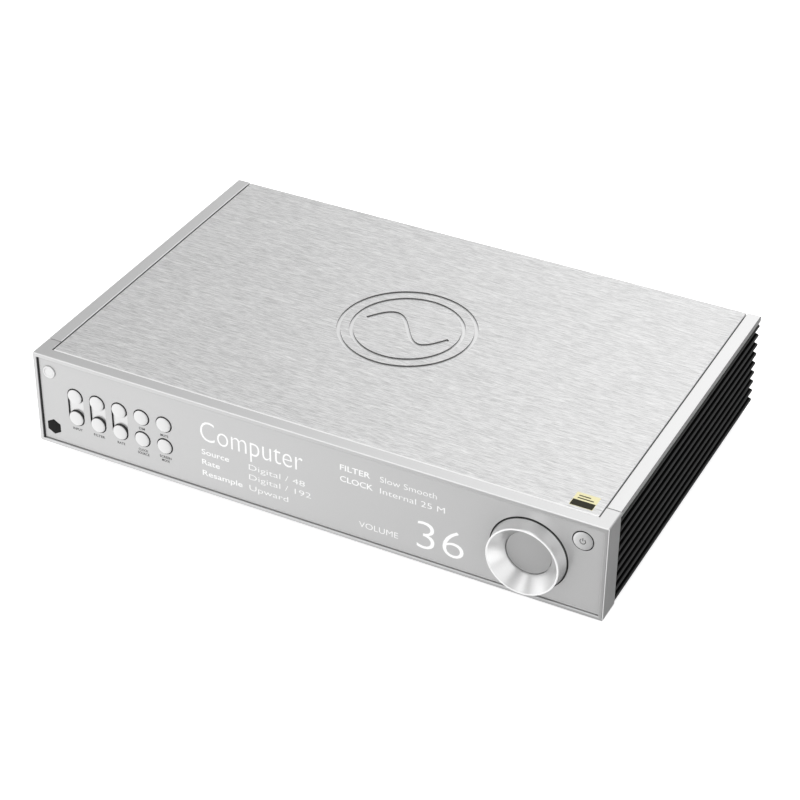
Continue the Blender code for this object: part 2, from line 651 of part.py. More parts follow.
# ---- rear sockets ----
def xlr_output(side, mats):
    """Male three-pin socket: a square flange, a deep cup and its pins."""
    x = XLR_X[side]
    cup_r, wall, deep = 9.4, 1.7, 15.0
    face = REAR_FACE + GAP
    cup = [(0, -deep - 2), (cup_r + wall, -deep - 2), (cup_r + wall, 2.2), (cup_r, 2.2),
           (cup_r, -deep), (0, -deep)]
    socket = solid(f"xlr_{side}_output", lambda bm: add_turned(bm, cup, 28, facing="back"),
                   mats["black"], (x, face, SOCKET_Z))
    flange = tool(f"xlr_{side}_flange", lambda bm: add_box(
        bm, (x - 13, face, SOCKET_Z - 15.5), (x + 13, face + 2.0, SOCKET_Z + 15.5)))
    cut(flange, f"xlr_{side}_mouth", lambda bm: add_prism(
        bm, circle(x, SOCKET_Z, cup_r + 0.8, 28), face - 5, face + 5))
    combine(socket, flange, "UNION")

    def pins(bm):
        for angle in (90, 210, 330):
            u = x + 5.0 * math.cos(math.radians(angle))
            v = SOCKET_Z + 5.0 * math.sin(math.radians(angle))
            add_prism(bm, circle(u, v, 1.2, 8), face - deep - 1, face - 0.5)

    add(socket, f"xlr_{side}_pins", pins)


def phono_socket(name, x, mats):
    face = REAR_FACE + GAP
    reach = REAR_REACH
    profile = [(0, 1.5), (1.6, 1.5), (1.6, reach), (4.15, reach), (4.15, 2.6), (6.6, 2.6),
               (6.6, 0), (4.6, 0), (4.6, -8), (0, -8)]
    solid(name, lambda bm: add_turned(bm, profile, 20, facing="back"), mats["gold"],
          (x, face, SOCKET_Z))


def clock_socket(mats):
    """Bayonet coaxial socket with two lugs."""
    face = REAR_FACE + GAP
    reach = REAR_REACH
    profile = [(0, 7.0), (0.9, 7.0), (0.9, 1.5), (3.9, 1.5), (3.9, reach), (4.8, reach),
               (4.8, 2.4), (7.0, 2.4), (7.0, 0), (4.9, 0), (4.9, -8), (0, -8)]
    socket = solid("clock_input", lambda bm: add_turned(bm, profile, 20, facing="back"),
                   mats["steel"], (CLOCK_X, face, SOCKET_Z))
    add(socket, "clock_lugs", lambda bm: [
        add_box(bm, (x - 0.6, face + 5.0, SOCKET_Z - 0.9), (x + 0.6, face + 6.8, SOCKET_Z + 0.9))
        for x in (CLOCK_X - 5.0, CLOCK_X + 5.0)])


def usb_input(mats):
    face = REAR_FACE + GAP
    shell = solid("usb_input", lambda bm: add_box(
        bm, (USB_X - 6, face - 15, SOCKET_Z - 5.5), (USB_X + 6, face + 1.0, SOCKET_Z + 5.5)),
        mats["steel"])
    mouth = [(-4.25, -3.9), (4.25, -3.9), (4.25, 2.3), (2.9, 3.9), (-2.9, 3.9), (-4.25, 2.3)]
    cut(shell, "usb_mouth", lambda bm: add_prism(
        bm, [(USB_X + u, SOCKET_Z + v) for u, v in mouth], face - 10, face + 5))
    add(shell, "usb_tongue", lambda bm: add_box(
        bm, (USB_X - 2.8, face - 11, SOCKET_Z - 1.6), (USB_X + 2.8, face - 1.5, SOCKET_Z + 1.5)))


def optical_input(mats):
    """Square optical port whose spring shutter swings inwards."""
    face = REAR_FACE + GAP
    half = 3.6
    port = solid("optical_input", lambda bm: add_box(
        bm, (OPTICAL_X - 6.4, face - 13, SOCKET_Z - 6), (OPTICAL_X + 6.4, face + 3.6, SOCKET_Z + 6)),
        mats["black"])
    cut(port, "optical_port", lambda bm: add_box(
        bm, (OPTICAL_X - half, face - 9, SOCKET_Z - half), (OPTICAL_X + half, face + 8, SOCKET_Z + half)))
    y, z = SHUTTER_PIVOT
    axis = axis_empty("shutter_axis", (OPTICAL_X, y, z))
    width = SHUTTER_SIZE / 2
    solid("optical_shutter", lambda bm: add_box(
        bm, (-width, -0.35, -SHUTTER_SIZE), (width, 0.35, 0.1)), mats["black"],
        (OPTICAL_X, y, z), axis)


def rocker_outline():
    """Side view of the rocker, as (y, z) about its pivot: a shallow V facing out."""
    arm = 8.6
    rise = arm * math.tan(math.radians(ROCKER_TILT))
    return [(1.6 + rise, arm), (1.6, 0), (1.6 + rise, -arm), (-2.2, -arm + 0.8), (-3.4, 0),
            (-2.2, arm - 0.8)]


def mains_rocker(mats):
    face = REAR_FACE + GAP
    frame = solid("rocker_frame", lambda bm: add_box(
        bm, (ROCKER_X - 8.5, face, SOCKET_Z - 12.5), (ROCKER_X + 8.5, face + 1.8, SOCKET_Z + 12.5)),
        mats["black"])
    add(frame, "rocker_box", lambda bm: add_box(
        bm, (ROCKER_X - 6.7, face - 14, SOCKET_Z - 10.7), (ROCKER_X + 6.7, face + 1.0, SOCKET_Z + 10.7)))
    cut(frame, "rocker_well", lambda bm: add_box(
        bm, (ROCKER_X - 5.5, face - 12, SOCKET_Z - 9.5), (ROCKER_X + 5.5, face + 8, SOCKET_Z + 9.5)))
    axis = axis_empty("rocker_axis", (ROCKER_X, face, SOCKET_Z))
    rocker = solid("mains_rocker", lambda bm: add_prism(
        bm, rocker_outline(), -5.1, 5.1, "x"), mats["black"], (ROCKER_X, face, SOCKET_Z), axis)
    rocker.rotation_euler = (math.radians(ROCKER_TILT), 0, 0)


def mains_inlet(mats):
    """Three-blade inlet with a fuse drawer below the cavity."""
    face = REAR_FACE + GAP
    inlet = solid("mains_inlet", lambda bm: add_box(
        bm, (INLET_X - 16, face, SOCKET_Z - 17.5), (INLET_X + 16, face + 2.4, SOCKET_Z + 17.5)),
        mats["black"])
    add(inlet, "inlet_box", lambda bm: add_box(
        bm, (INLET_X - 13.9, face - 24, SOCKET_Z - 15), (INLET_X + 13.9, face + 1.0, SOCKET_Z + 15)))
    low, high = SOCKET_Z - 4.0, SOCKET_Z + 12.4
    mouth = [(-12, low), (12, low), (12, high - 5), (7, high), (-7, high), (-12, high - 5)]
    cut(inlet, "inlet_mouth", lambda bm: add_prism(
        bm, [(INLET_X + u, v) for u, v in mouth], face - 16, face + 8))
    cut(inlet, "fuse_slot", lambda bm: add_box(
        bm, (INLET_X - 11, face - 20, SOCKET_Z - 14), (INLET_X + 11, face + 8, SOCKET_Z - 6.4)))

    def blades(bm):
        for u, v in ((-7, 2.2), (0, 6.2), (7, 2.2)):
            add_box(bm, (INLET_X + u - 1, face - 17, SOCKET_Z + v - 2),
                    (INLET_X + u + 1, face - 2.6, SOCKET_Z + v + 2))

    add(inlet, "inlet_blades", blades)
    middle = SOCKET_Z - 10.2
    drawer = solid("fuse_drawer", lambda bm: add_box(
        bm, (INLET_X - 10.6, face - 18, middle - 3.4), (INLET_X + 10.6, face + 2.8, middle + 3.4)),
        mats["black"])
    add(drawer, "fuse_drawer_lip", lambda bm: add_box(
        bm, (INLET_X - 11.6, face + 2.7, middle - 3.6), (INLET_X + 11.6, face + 4.2, middle + 3.6)))


def main():
    for obj in list(bpy.data.objects):
        bpy.data.objects.remove(obj)
    mats = make_materials()
    front_bezel(mats)
    panel_gasket(mats)
    front_panel(mats)
    top_cover(mats)
    for name, side in (("left", -1), ("right", 1)):
        side_rail("side_rail_" + name, side, mats)
        fin_panel("fin_panel_" + name, side, mats)
    bottom_pan(mats)
    rear_panel(mats)
    for name, at in FEET.items():
        foot(name, at, mats)
    for column, name in enumerate(COLUMNS):
        key_bridge(name, column, mats)
    push_buttons(mats)
    key_carrier(mats)
    key_board(mats)
    power_control(mats)
    remote_window(mats)
    badge(mats)
    volume_control(mats)
    front_subframe(mats)
    display_module(mats)
    ribbon_cable(mats)
    main_board(mats)
    power_supply(mats)
    toroidal_transformer(mats)
    for side in XLR_X:
        xlr_output(side, mats)
    for side, x in RCA_X.items():
        phono_socket(f"rca_{side}_output", x, mats)
    phono_socket("coaxial_input", COAX_X, mats)
    clock_socket(mats)
    usb_input(mats)
    optical_input(mats)
    mains_rocker(mats)
    mains_inlet(mats)


main()
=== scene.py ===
import math
import bmesh
import bpy
from mathutils import Matrix, Vector


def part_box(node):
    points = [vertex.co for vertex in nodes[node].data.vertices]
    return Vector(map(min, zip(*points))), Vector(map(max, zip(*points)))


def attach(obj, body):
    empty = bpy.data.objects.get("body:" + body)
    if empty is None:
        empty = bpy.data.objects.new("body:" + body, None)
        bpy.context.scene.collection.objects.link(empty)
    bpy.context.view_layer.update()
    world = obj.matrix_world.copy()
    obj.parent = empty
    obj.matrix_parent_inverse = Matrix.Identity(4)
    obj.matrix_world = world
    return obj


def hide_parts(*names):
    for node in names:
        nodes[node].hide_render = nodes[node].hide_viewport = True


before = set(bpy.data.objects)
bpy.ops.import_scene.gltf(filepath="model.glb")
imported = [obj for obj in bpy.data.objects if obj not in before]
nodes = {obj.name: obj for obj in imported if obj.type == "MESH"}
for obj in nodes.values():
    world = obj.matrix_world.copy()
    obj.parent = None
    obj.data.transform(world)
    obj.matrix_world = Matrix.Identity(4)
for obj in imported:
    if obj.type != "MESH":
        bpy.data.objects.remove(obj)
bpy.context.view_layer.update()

# everything is drawn in millimetres and brought down to metres when a piece is made
toMetres = Matrix.Scale(0.001, 4)
toMm = Matrix.Scale(1000, 4)


def boxMm(node):
    low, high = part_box(node)
    return low * 1000, high * 1000


def centreMm(node):
    low, high = boxMm(node)
    return (low + high) / 2


bezelLow = boxMm("front_bezel")[0]
panelLow, panelHigh = boxMm("front_panel")
coverLow, coverHigh = boxMm("top_cover")
rearLow, rearHigh = boxMm("rear_panel")
caseBase = bezelLow.z
panelFace = panelLow.y
rearFace = rearHigh.y

print("frame loaded:", len(nodes), "nodes")

# which way a turned shape's axis points
facings = {
    "up": Matrix.Identity(4),
    "down": Matrix.Rotation(math.pi, 4, "X"),
    "front": Matrix.Rotation(math.pi / 2, 4, "X"),
    "back": Matrix.Rotation(-math.pi / 2, 4, "X"),
}
# a flat outline (u, v) pushed along w: which way u, v and w lie
layings = {
    "frontOn": Matrix(((1, 0, 0, 0), (0, 0, 1, 0), (0, 1, 0, 0), (0, 0, 0, 1))),
    "flat": Matrix.Identity(4),
}


def arc(u, v, radius, startDeg, endDeg, steps):
    span = math.radians(endDeg - startDeg)
    first = math.radians(startDeg)
    turns = [first + span * i / steps for i in range(steps + 1)]
    return [(u + radius * math.cos(turn), v + radius * math.sin(turn)) for turn in turns]


def circleLoop(u, v, radius, steps, startDeg=0):
    return arc(u, v, radius, startDeg, startDeg + 360 * (steps - 1) / steps, steps - 1)


def slotLoop(u, lowV, highV, radius, steps):
    return arc(u, highV, radius, 0, 180, steps) + arc(u, lowV, radius, 180, 360, steps)


def roundedBoxLoop(u0, v0, u1, v1, radius, steps=6):
    return (arc(u1 - radius, v1 - radius, radius, 0, 90, steps)
            + arc(u0 + radius, v1 - radius, radius, 90, 180, steps)
            + arc(u0 + radius, v0 + radius, radius, 180, 270, steps)
            + arc(u1 - radius, v0 + radius, radius, 270, 360, steps))


def turnedShape(profile, steps, centre, facing):
    # profile is (radius, height); it closes on itself unless both ends lie on the axis
    bm = bmesh.new()
    points = [bm.verts.new((r, 0, h)) for r, h in profile]
    edges = [bm.edges.new(pair) for pair in zip(points, points[1:])]
    if profile[0][0] > 0:
        edges.append(bm.edges.new((points[-1], points[0])))
    bmesh.ops.spin(bm, geom=points + edges, cent=(0, 0, 0), axis=(0, 0, 1), angle=2 * math.pi, steps=steps,
                   use_merge=True)
    bmesh.ops.remove_doubles(bm, verts=bm.verts, dist=0.0005)
    bm.transform(Matrix.Translation(centre) @ facings[facing])
    bmesh.ops.recalc_face_normals(bm, faces=bm.faces)
    return bm


def plateShape(loops, low, high, laying):
    # the first loop is the outside, the others are holes
    bm = bmesh.new()
    for loop in loops:
        ring = [bm.verts.new((u, v, low)) for u, v in loop]
        for i in range(len(ring)):
            bm.edges.new((ring[i - 1], ring[i]))
    bmesh.ops.triangle_fill(bm, use_beauty=True, use_dissolve=False, edges=bm.edges[:], normal=(0, 0, 1))
    pushed = bmesh.ops.extrude_face_region(bm, geom=bm.faces[:])
    moved = [g for g in pushed["geom"] if isinstance(g, bmesh.types.BMVert)]
    bmesh.ops.translate(bm, verts=moved, vec=(0, 0, high - low))
    bm.transform(layings[laying])
    bmesh.ops.recalc_face_normals(bm, faces=bm.faces)
    return bm


def blockShape(low, high):
    low, high = Vector(low), Vector(high)
    bm = bmesh.new()
    bmesh.ops.create_cube(bm, size=1, matrix=Matrix.Translation((low + high) / 2)
                          @ Matrix.Diagonal((*(high - low), 1)))
    return bm


def nodeShape(node):
    bm = bmesh.new()
    bm.from_mesh(nodes[node].data)
    bm.transform(toMm)
    bmesh.ops.remove_doubles(bm, verts=bm.verts, dist=0.002)
    bmesh.ops.dissolve_limit(bm, angle_limit=math.radians(0.4), use_dissolve_boundaries=False,
                             verts=bm.verts, edges=bm.edges, delimit=set())
    return bm


def joined(*shapes):
    whole = bmesh.new()
    for shape in shapes:
        mesh = bpy.data.meshes.new("passing")
        shape.to_mesh(mesh)
        shape.free()
        whole.from_mesh(mesh)
        bpy.data.meshes.remove(mesh)
    return whole


def roundEdges(bm, width, segments=2, minDeg=30, where=None):
    sharp = [e for e in bm.edges if len(e.link_faces) == 2 and e.calc_face_angle(0) > math.radians(minDeg)
             and (where is None or where(e))]
    bmesh.ops.bevel(bm, geom=sharp, offset=width, offset_type="OFFSET", affect="EDGES", segments=segments,
                    profile=0.5, material=-1, clamp_overlap=True)
    return bm


def carve(bm, cutter):
    # takes one shape out of another and hands back the result
    mesh, toolMesh = bpy.data.meshes.new("blank"), bpy.data.meshes.new("cutter")
    bm.to_mesh(mesh)
    cutter.to_mesh(toolMesh)
    bm.free()
    cutter.free()
    blank, tool = bpy.data.objects.new("blank", mesh), bpy.data.objects.new("cutter", toolMesh)
    for obj in (blank, tool):
        bpy.context.scene.collection.objects.link(obj)
    step = blank.modifiers.new("carve", "BOOLEAN")
    step.object, step.operation, step.solver = tool, "DIFFERENCE", "EXACT"
    bpy.context.view_layer.update()
    cut = bpy.data.meshes.new_from_object(blank.evaluated_get(bpy.context.evaluated_depsgraph_get()))
    result = bmesh.new()
    result.from_mesh(cut)
    for obj in (blank, tool):
        bpy.data.objects.remove(obj)
    for spent in (mesh, toolMesh, cut):
        bpy.data.meshes.remove(spent)
    return result


def makePiece(bm, name, material, body="chassis", standsFor=None, sharpDeg=32):
    bmesh.ops.remove_doubles(bm, verts=bm.verts, dist=0.0005)
    bm.transform(toMetres)
    mesh = bpy.data.meshes.new(name)
    bm.to_mesh(mesh)
    bm.free()
    mesh.shade_smooth()
    mesh.set_sharp_from_angle(angle=math.radians(sharpDeg))
    for each in material if isinstance(material, list) else [material]:
        mesh.materials.append(each)
    piece = bpy.data.objects.new(name, mesh)
    bpy.context.scene.collection.objects.link(piece)
    evenShade = piece.modifiers.new("evenShade", "WEIGHTED_NORMAL")
    evenShade.keep_sharp = True
    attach(piece, body)
    if standsFor:
        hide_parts(standsFor)


def roundedNode(node, name, material, edge, segments=2, body="chassis"):
    # a node kept as it is, with its edges rounded
    makePiece(roundEdges(nodeShape(node), edge, segments), name, material, body=body, standsFor=node)


def newGrainGroup(name, spacing, kind):
    # vector in, spacing of the marks, two tones and a roughness; colour, roughness and height out
    group = bpy.data.node_groups.new(name, "ShaderNodeTree")
    for label, socketKind in (("Vector", "NodeSocketVector"), (spacing, kind),
                              ("Dark Tone", "NodeSocketColor"), ("Light Tone", "NodeSocketColor"),
                              ("Roughness", "NodeSocketFloat"), ("Roughness Swing", "NodeSocketFloat")):
        group.interface.new_socket(name=label, in_out="INPUT", socket_type=socketKind)
    for label, socketKind in (("Color", "NodeSocketColor"), ("Roughness", "NodeSocketFloat"),
                              ("Height", "NodeSocketFloat")):
        group.interface.new_socket(name=label, in_out="OUTPUT", socket_type=socketKind)
    return group, group.nodes.new("NodeGroupInput"), group.nodes.new("NodeGroupOutput")


def finishGrain(tree, given, put, marks, gloss):
    # marks pick the tone and give the height, gloss moves the roughness about its middle
    tint = tintNode(tree, marks, given.outputs["Dark Tone"], given.outputs["Light Tone"])
    tree.links.new(tint, put.inputs["Color"])
    swing = mathNode(tree, "MULTIPLY", mathNode(tree, "SUBTRACT", gloss, 0.5),
                     given.outputs["Roughness Swing"])
    tree.links.new(mathNode(tree, "ADD", given.outputs["Roughness"], swing), put.inputs["Roughness"])
    tree.links.new(marks, put.inputs["Height"])
    return tree


def mathNode(tree, operation, first, second, clamp=False):
    made = tree.nodes.new("ShaderNodeMath")
    made.operation, made.use_clamp = operation, clamp
    for socket, value in zip(made.inputs, (first, second)):
        if isinstance(value, (int, float)):
            socket.default_value = value
        elif value is not None:
            tree.links.new(value, socket)
    return made.outputs[0]


def tintNode(tree, amount, low, high):
    # amount picks between two colours
    made = tree.nodes.new("ShaderNodeMix")
    made.data_type = "RGBA"
    tree.links.new(amount, made.inputs[0])
    for socket, value in ((made.inputs[6], low), (made.inputs[7], high)):
        if isinstance(value, tuple):
            socket.default_value = value
        else:
            tree.links.new(value, socket)
    return made.outputs[2]


def noiseNode(tree, vector, scale, detail, rough):
    made = tree.nodes.new("ShaderNodeTexNoise")
    made.inputs["Detail"].default_value = detail
    made.inputs["Roughness"].default_value = rough
    if isinstance(scale, (int, float)):
        made.inputs["Scale"].default_value = scale
    else:
        tree.links.new(scale, made.inputs["Scale"])
    tree.links.new(vector, made.inputs["Vector"])
    return made.outputs["Fac"]


def brushedGrainGroup():
    # fine strokes drawn out along one axis: Stretch is strokes per metre along x, y and z
    tree, given, put = newGrainGroup("brushedGrain", "Stretch", "NodeSocketVector")
    stretched = tree.nodes.new("ShaderNodeVectorMath")
    stretched.operation = "MULTIPLY"
    tree.links.new(given.outputs["Vector"], stretched.inputs[0])
    tree.links.new(given.outputs["Stretch"], stretched.inputs[1])
    strokes = noiseNode(tree, stretched.outputs[0], 1.0, 5, 0.72)
    drifts = noiseNode(tree, stretched.outputs[0], 0.3, 3, 0.6)
    mixed = mathNode(tree, "ADD", mathNode(tree, "MULTIPLY", strokes, 0.86),
                     mathNode(tree, "MULTIPLY", drifts, 0.14))
    spread = mathNode(tree, "MULTIPLY_ADD", mixed, 3.0)
    spread.node.inputs[2].default_value = -1.0
    spread.node.use_clamp = True
    return finishGrain(tree, given, put, spread, spread)


def fineGrainGroup():
    # even speckle of blasted metal, moulded plastic and painted boards, with broad faint handling marks
    tree, given, put = newGrainGroup("fineGrain", "Grains per Metre", "NodeSocketFloat")
    grains = noiseNode(tree, given.outputs["Vector"], given.outputs["Grains per Metre"], 3, 0.6)
    marks = noiseNode(tree, given.outputs["Vector"], 18.0, 4, 0.55)
    both = mathNode(tree, "ADD", mathNode(tree, "MULTIPLY", grains, 0.35),
                    mathNode(tree, "MULTIPLY", marks, 0.65))
    return finishGrain(tree, given, put, grains, both)


brushedGrain = brushedGrainGroup()
fineGrain = fineGrainGroup()


def groupedMaterial(name, group, values, metallic, bump, fixed=None, vectorFrom=None):
    # group gives colour, roughness and height; everything constant sits on the shader's own sockets
    material = bpy.data.materials.new(name)
    material.use_nodes = True
    tree = material.node_tree
    shader = tree.nodes["Principled BSDF"]
    place = tree.nodes.new("ShaderNodeTexCoord").outputs["Object"]
    if vectorFrom:
        place = vectorFrom(tree, place)
    effect = tree.nodes.new("ShaderNodeGroup")
    effect.node_tree = group
    tree.links.new(place, effect.inputs["Vector"])
    for label, value in values.items():
        effect.inputs[label].default_value = (*value, 1) if "Tone" in label else value
    tree.links.new(effect.outputs["Color"], shader.inputs["Base Color"])
    tree.links.new(effect.outputs["Roughness"], shader.inputs["Roughness"])
    relief = tree.nodes.new("ShaderNodeBump")
    relief.inputs["Strength"].default_value = bump[0]
    relief.inputs["Distance"].default_value = bump[1]
    tree.links.new(effect.outputs["Height"], relief.inputs["Height"])
    tree.links.new(relief.outputs["Normal"], shader.inputs["Normal"])
    shader.inputs["Metallic"].default_value = metallic
    for label, value in (fixed or {}).items():
        shader.inputs[label].default_value = value
    return material


def grey(value):
    return (value, value, value)


def grainMaterial(name, grains, darkTone, lightTone, roughness, metallic, bump, fixed=None):
    # tones are one grey or a colour, roughness is its middle and swing, bump is strength and depth
    tones = [tone if isinstance(tone, tuple) else grey(tone) for tone in (darkTone, lightTone)]
    values = {"Grains per Metre": grains, "Dark Tone": tones[0], "Light Tone": tones[1],
              "Roughness": roughness[0], "Roughness Swing": roughness[1]}
    return groupedMaterial(name, fineGrain, values, metallic, bump, fixed)


def spunCoordinates(centre):
    # turns place into (distance from the axis, nothing, depth), so strokes run in rings
    def build(tree, place):
        shifted = tree.nodes.new("ShaderNodeMapping")
        shifted.inputs["Location"].default_value = [-c / 1000 for c in centre]
        tree.links.new(place, shifted.inputs["Vector"])
        flat = tree.nodes.new("ShaderNodeVectorMath")
        flat.operation = "MULTIPLY"
        flat.inputs[1].default_value = (1, 0, 1)
        tree.links.new(shifted.outputs[0], flat.inputs[0])
        reach = tree.nodes.new("ShaderNodeVectorMath")
        reach.operation = "LENGTH"
        tree.links.new(flat.outputs[0], reach.inputs[0])
        split = tree.nodes.new("ShaderNodeSeparateXYZ")
        tree.links.new(shifted.outputs[0], split.inputs[0])
        packed = tree.nodes.new("ShaderNodeCombineXYZ")
        tree.links.new(reach.outputs["Value"], packed.inputs[0])
        tree.links.new(split.outputs[1], packed.inputs[2])
        return packed.outputs[0]
    return build


knobCentre = Vector((centreMm("volume_knob").x, panelFace, centreMm("volume_knob").z))

silverCoat = {"Coat Weight": 0.25, "Coat Roughness": 0.25}
metalTones = {"coverDark": 0.46, "coverLight": 0.97, "satin": 0.78, "bezel": 0.73, "bright": 0.81,
              "panel": 0.595, "knobFace": 0.5}

coverMetal = groupedMaterial("brushedCover", brushedGrain, {
    "Stretch": (125, 2200, 2200), "Dark Tone": grey(metalTones["coverDark"]),
    "Light Tone": grey(metalTones["coverLight"]),
    "Roughness": 0.4, "Roughness Swing": 0.14}, 0.82, (0.2, 0.0001))
# the engraved groove walls are painted near-black, as painted shade inside the grooves
paintedShadeGrooveWall = grainMaterial("paintedShadeGrooveWall", 2600, 0.10, 0.16, (0.5, 0.1), 0.6, (0.05, 0.0001))
grooveFloor = grainMaterial("grooveFloor", 2600, 0.84, 0.90, (0.42, 0.1), 0.8, (0.05, 0.0001))
satinMetal = grainMaterial("satinAluminium", 2600, metalTones["satin"] - 0.05, metalTones["satin"] + 0.04,
                           (0.34, 0.1), 0.95, (0.08, 0.0001))
bezelMetal = grainMaterial("bezelAluminium", 2600, metalTones["bezel"] - 0.05, metalTones["bezel"] + 0.04,
                           (0.34, 0.1), 0.95, (0.08, 0.0001))
# the rail's upper outer chamfer is painted dark grey, as painted shade
railPaintedShade = grainMaterial("railEdgePaintedShade", 2600, 0.20, 0.27, (0.42, 0.1), 0.7, (0.05, 0.0001))
# near-white metal for bevels and lips, a painted highlight
paintedHighlightMetal = grainMaterial("paintedEdgeHighlight", 3200, 0.93, 0.97, (0.3, 0.05), 0.25, (0.02, 0.00005))
# light metal for the bezel's top-front bevel, a painted highlight
paintedHighlightBezelEdge = grainMaterial("paintedHighlightBezelEdge", 3200, 0.82, 0.88, (0.4, 0.08), 0.5, (0.02, 0.00005))
# near-black metal for key sides and the knob's base, painted shade
paintedShadeMetal = grainMaterial("paintedShadeSide", 3200, 0.05, 0.08, (0.45, 0.08), 0.4, (0.02, 0.00005))
brightMetal = grainMaterial("turnedButton", 4200, metalTones["bright"] - 0.02, metalTones["bright"],
                            (0.3, 0.06), 0.75, (0.02, 0.00005))
knobMetal = groupedMaterial("spunKnob", brushedGrain, {
    "Stretch": (2600, 1, 2600), "Dark Tone": grey(0.78), "Light Tone": grey(0.84),
    "Roughness": 0.3, "Roughness Swing": 0.05}, 0.95, (0.03, 0.00005),
    vectorFrom=spunCoordinates(knobCentre))
panelFinish = grainMaterial("silverPanel", 3000, metalTones["panel"] - 0.03, metalTones["panel"] + 0.03,
                            (0.33, 0.08), 0.55, (0.05, 0.0001), silverCoat)
knobFaceFinish = grainMaterial("knobFaceFinish", 3000, metalTones["knobFace"] - 0.03,
                               metalTones["knobFace"] + 0.03, (0.33, 0.08), 0.55, (0.05, 0.0001),
                               silverCoat)
finFinish = grainMaterial("blackFin", 1800, 0.010, 0.016, (0.4, 0.12), 0.0, (0.1, 0.0001),
                          {"Specular IOR Level": 0.36})
# the fin faces back from the tips are painted blacker and dull, as painted shade in the grooves
finPaintedShade = grainMaterial("paintedShadeFinGroove", 1800, 0.001, 0.002, (0.85, 0.1), 0.0, (0.1, 0.0001),
                         {"Specular IOR Level": 0.04})
plasticBlack = grainMaterial("mouldedBlack", 1600, 0.014, 0.024, (0.48, 0.12), 0.0, (0.2, 0.0001))
rubberBlack = grainMaterial("footRubber", 900, 0.02, 0.035, (0.8, 0.15), 0.0, (0.35, 0.0002))
zincSteel = grainMaterial("zincSteel", 260, (0.42, 0.43, 0.46), (0.62, 0.62, 0.63), (0.38, 0.2), 1.0,
                          (0.06, 0.0001))
goldPlate = grainMaterial("goldPlate", 2000, (0.80, 0.56, 0.20), (0.90, 0.68, 0.30), (0.24, 0.1), 1.0,
                          (0.05, 0.0001))
smokedWindow = grainMaterial("smokedWindow", 500, 0.002, 0.004, (0.25, 0.06), 0.0, (0.02, 0.0001),
                             {"Specular IOR Level": 0.15})
boardGreen = grainMaterial("boardMask", 700, (0.015, 0.11, 0.05), (0.03, 0.18, 0.08), (0.4, 0.15), 0.0,
                           (0.15, 0.0001))
windingCopper = groupedMaterial("lacqueredWinding", brushedGrain, {
    "Stretch": (900, 900, 40), "Dark Tone": (0.36, 0.15, 0.06), "Light Tone": (0.62, 0.30, 0.13),
    "Roughness": 0.35, "Roughness Swing": 0.15}, 0.7, (0.5, 0.0004))
displayLight = grainMaterial("displayLight", 1200, 0.78, 0.84, (0.45, 0.05), 0.0, (0.02, 0.0001),
                             {"Emission Color": (1, 1, 1, 1), "Emission Strength": 0.09})
labelInk = grainMaterial("labelInk", 2400, 0.01, 0.02, (0.55, 0.1), 0.0, (0.05, 0.0001))
stickerGold = grainMaterial("stickerGold", 1500, (0.80, 0.74, 0.42), (0.92, 0.87, 0.55), (0.35, 0.1),
                            0.25, (0.04, 0.0001))
stickerInk = grainMaterial("stickerInk", 1500, (0.016, 0.015, 0.006), (0.026, 0.024, 0.01), (0.5, 0.1),
                           0.0, (0.04, 0.0001), {"Specular IOR Level": 0.2})
ringWhite = grainMaterial("socketWhite", 1500, 0.75, 0.85, (0.4, 0.1), 0.0, (0.05, 0.0001))
ringRed = grainMaterial("socketRed", 1500, (0.45, 0.02, 0.02), (0.6, 0.04, 0.03), (0.4, 0.1), 0.0,
                        (0.05, 0.0001))
ringOrange = grainMaterial("socketOrange", 1500, (0.7, 0.22, 0.02), (0.85, 0.3, 0.04), (0.4, 0.1), 0.0,
                           (0.05, 0.0001))
print("materials made:", len(bpy.data.materials))


bezelLook = {"edge": 0.25}


def buildBezel():
    bm = nodeShape("front_bezel")
    roundEdges(bm, bezelLook["edge"], 2)
    bm.normal_update()
    # the bezel's top-front bevel takes the painted highlight
    for face in bm.faces:
        atFront = face.calc_center_median().y < bezelLow.y + 0.8
        if atFront and -0.96 < face.normal.y < -0.25 and face.normal.z > 0.25:
            face.material_index = 1
    makePiece(bm, "bezelFrame", [bezelMetal, paintedHighlightBezelEdge], standsFor="front_bezel")


markLook = {"radii": (50.0, 41.0), "groove": 2.8, "depth": 1.0, "waveReach": 32.0, "waveSwing": 15.0,
            "waveSteps": 60, "fromFront": 148.0, "coverDrop": 0.12, "coverRound": 0.95, "railGap": 0.35}


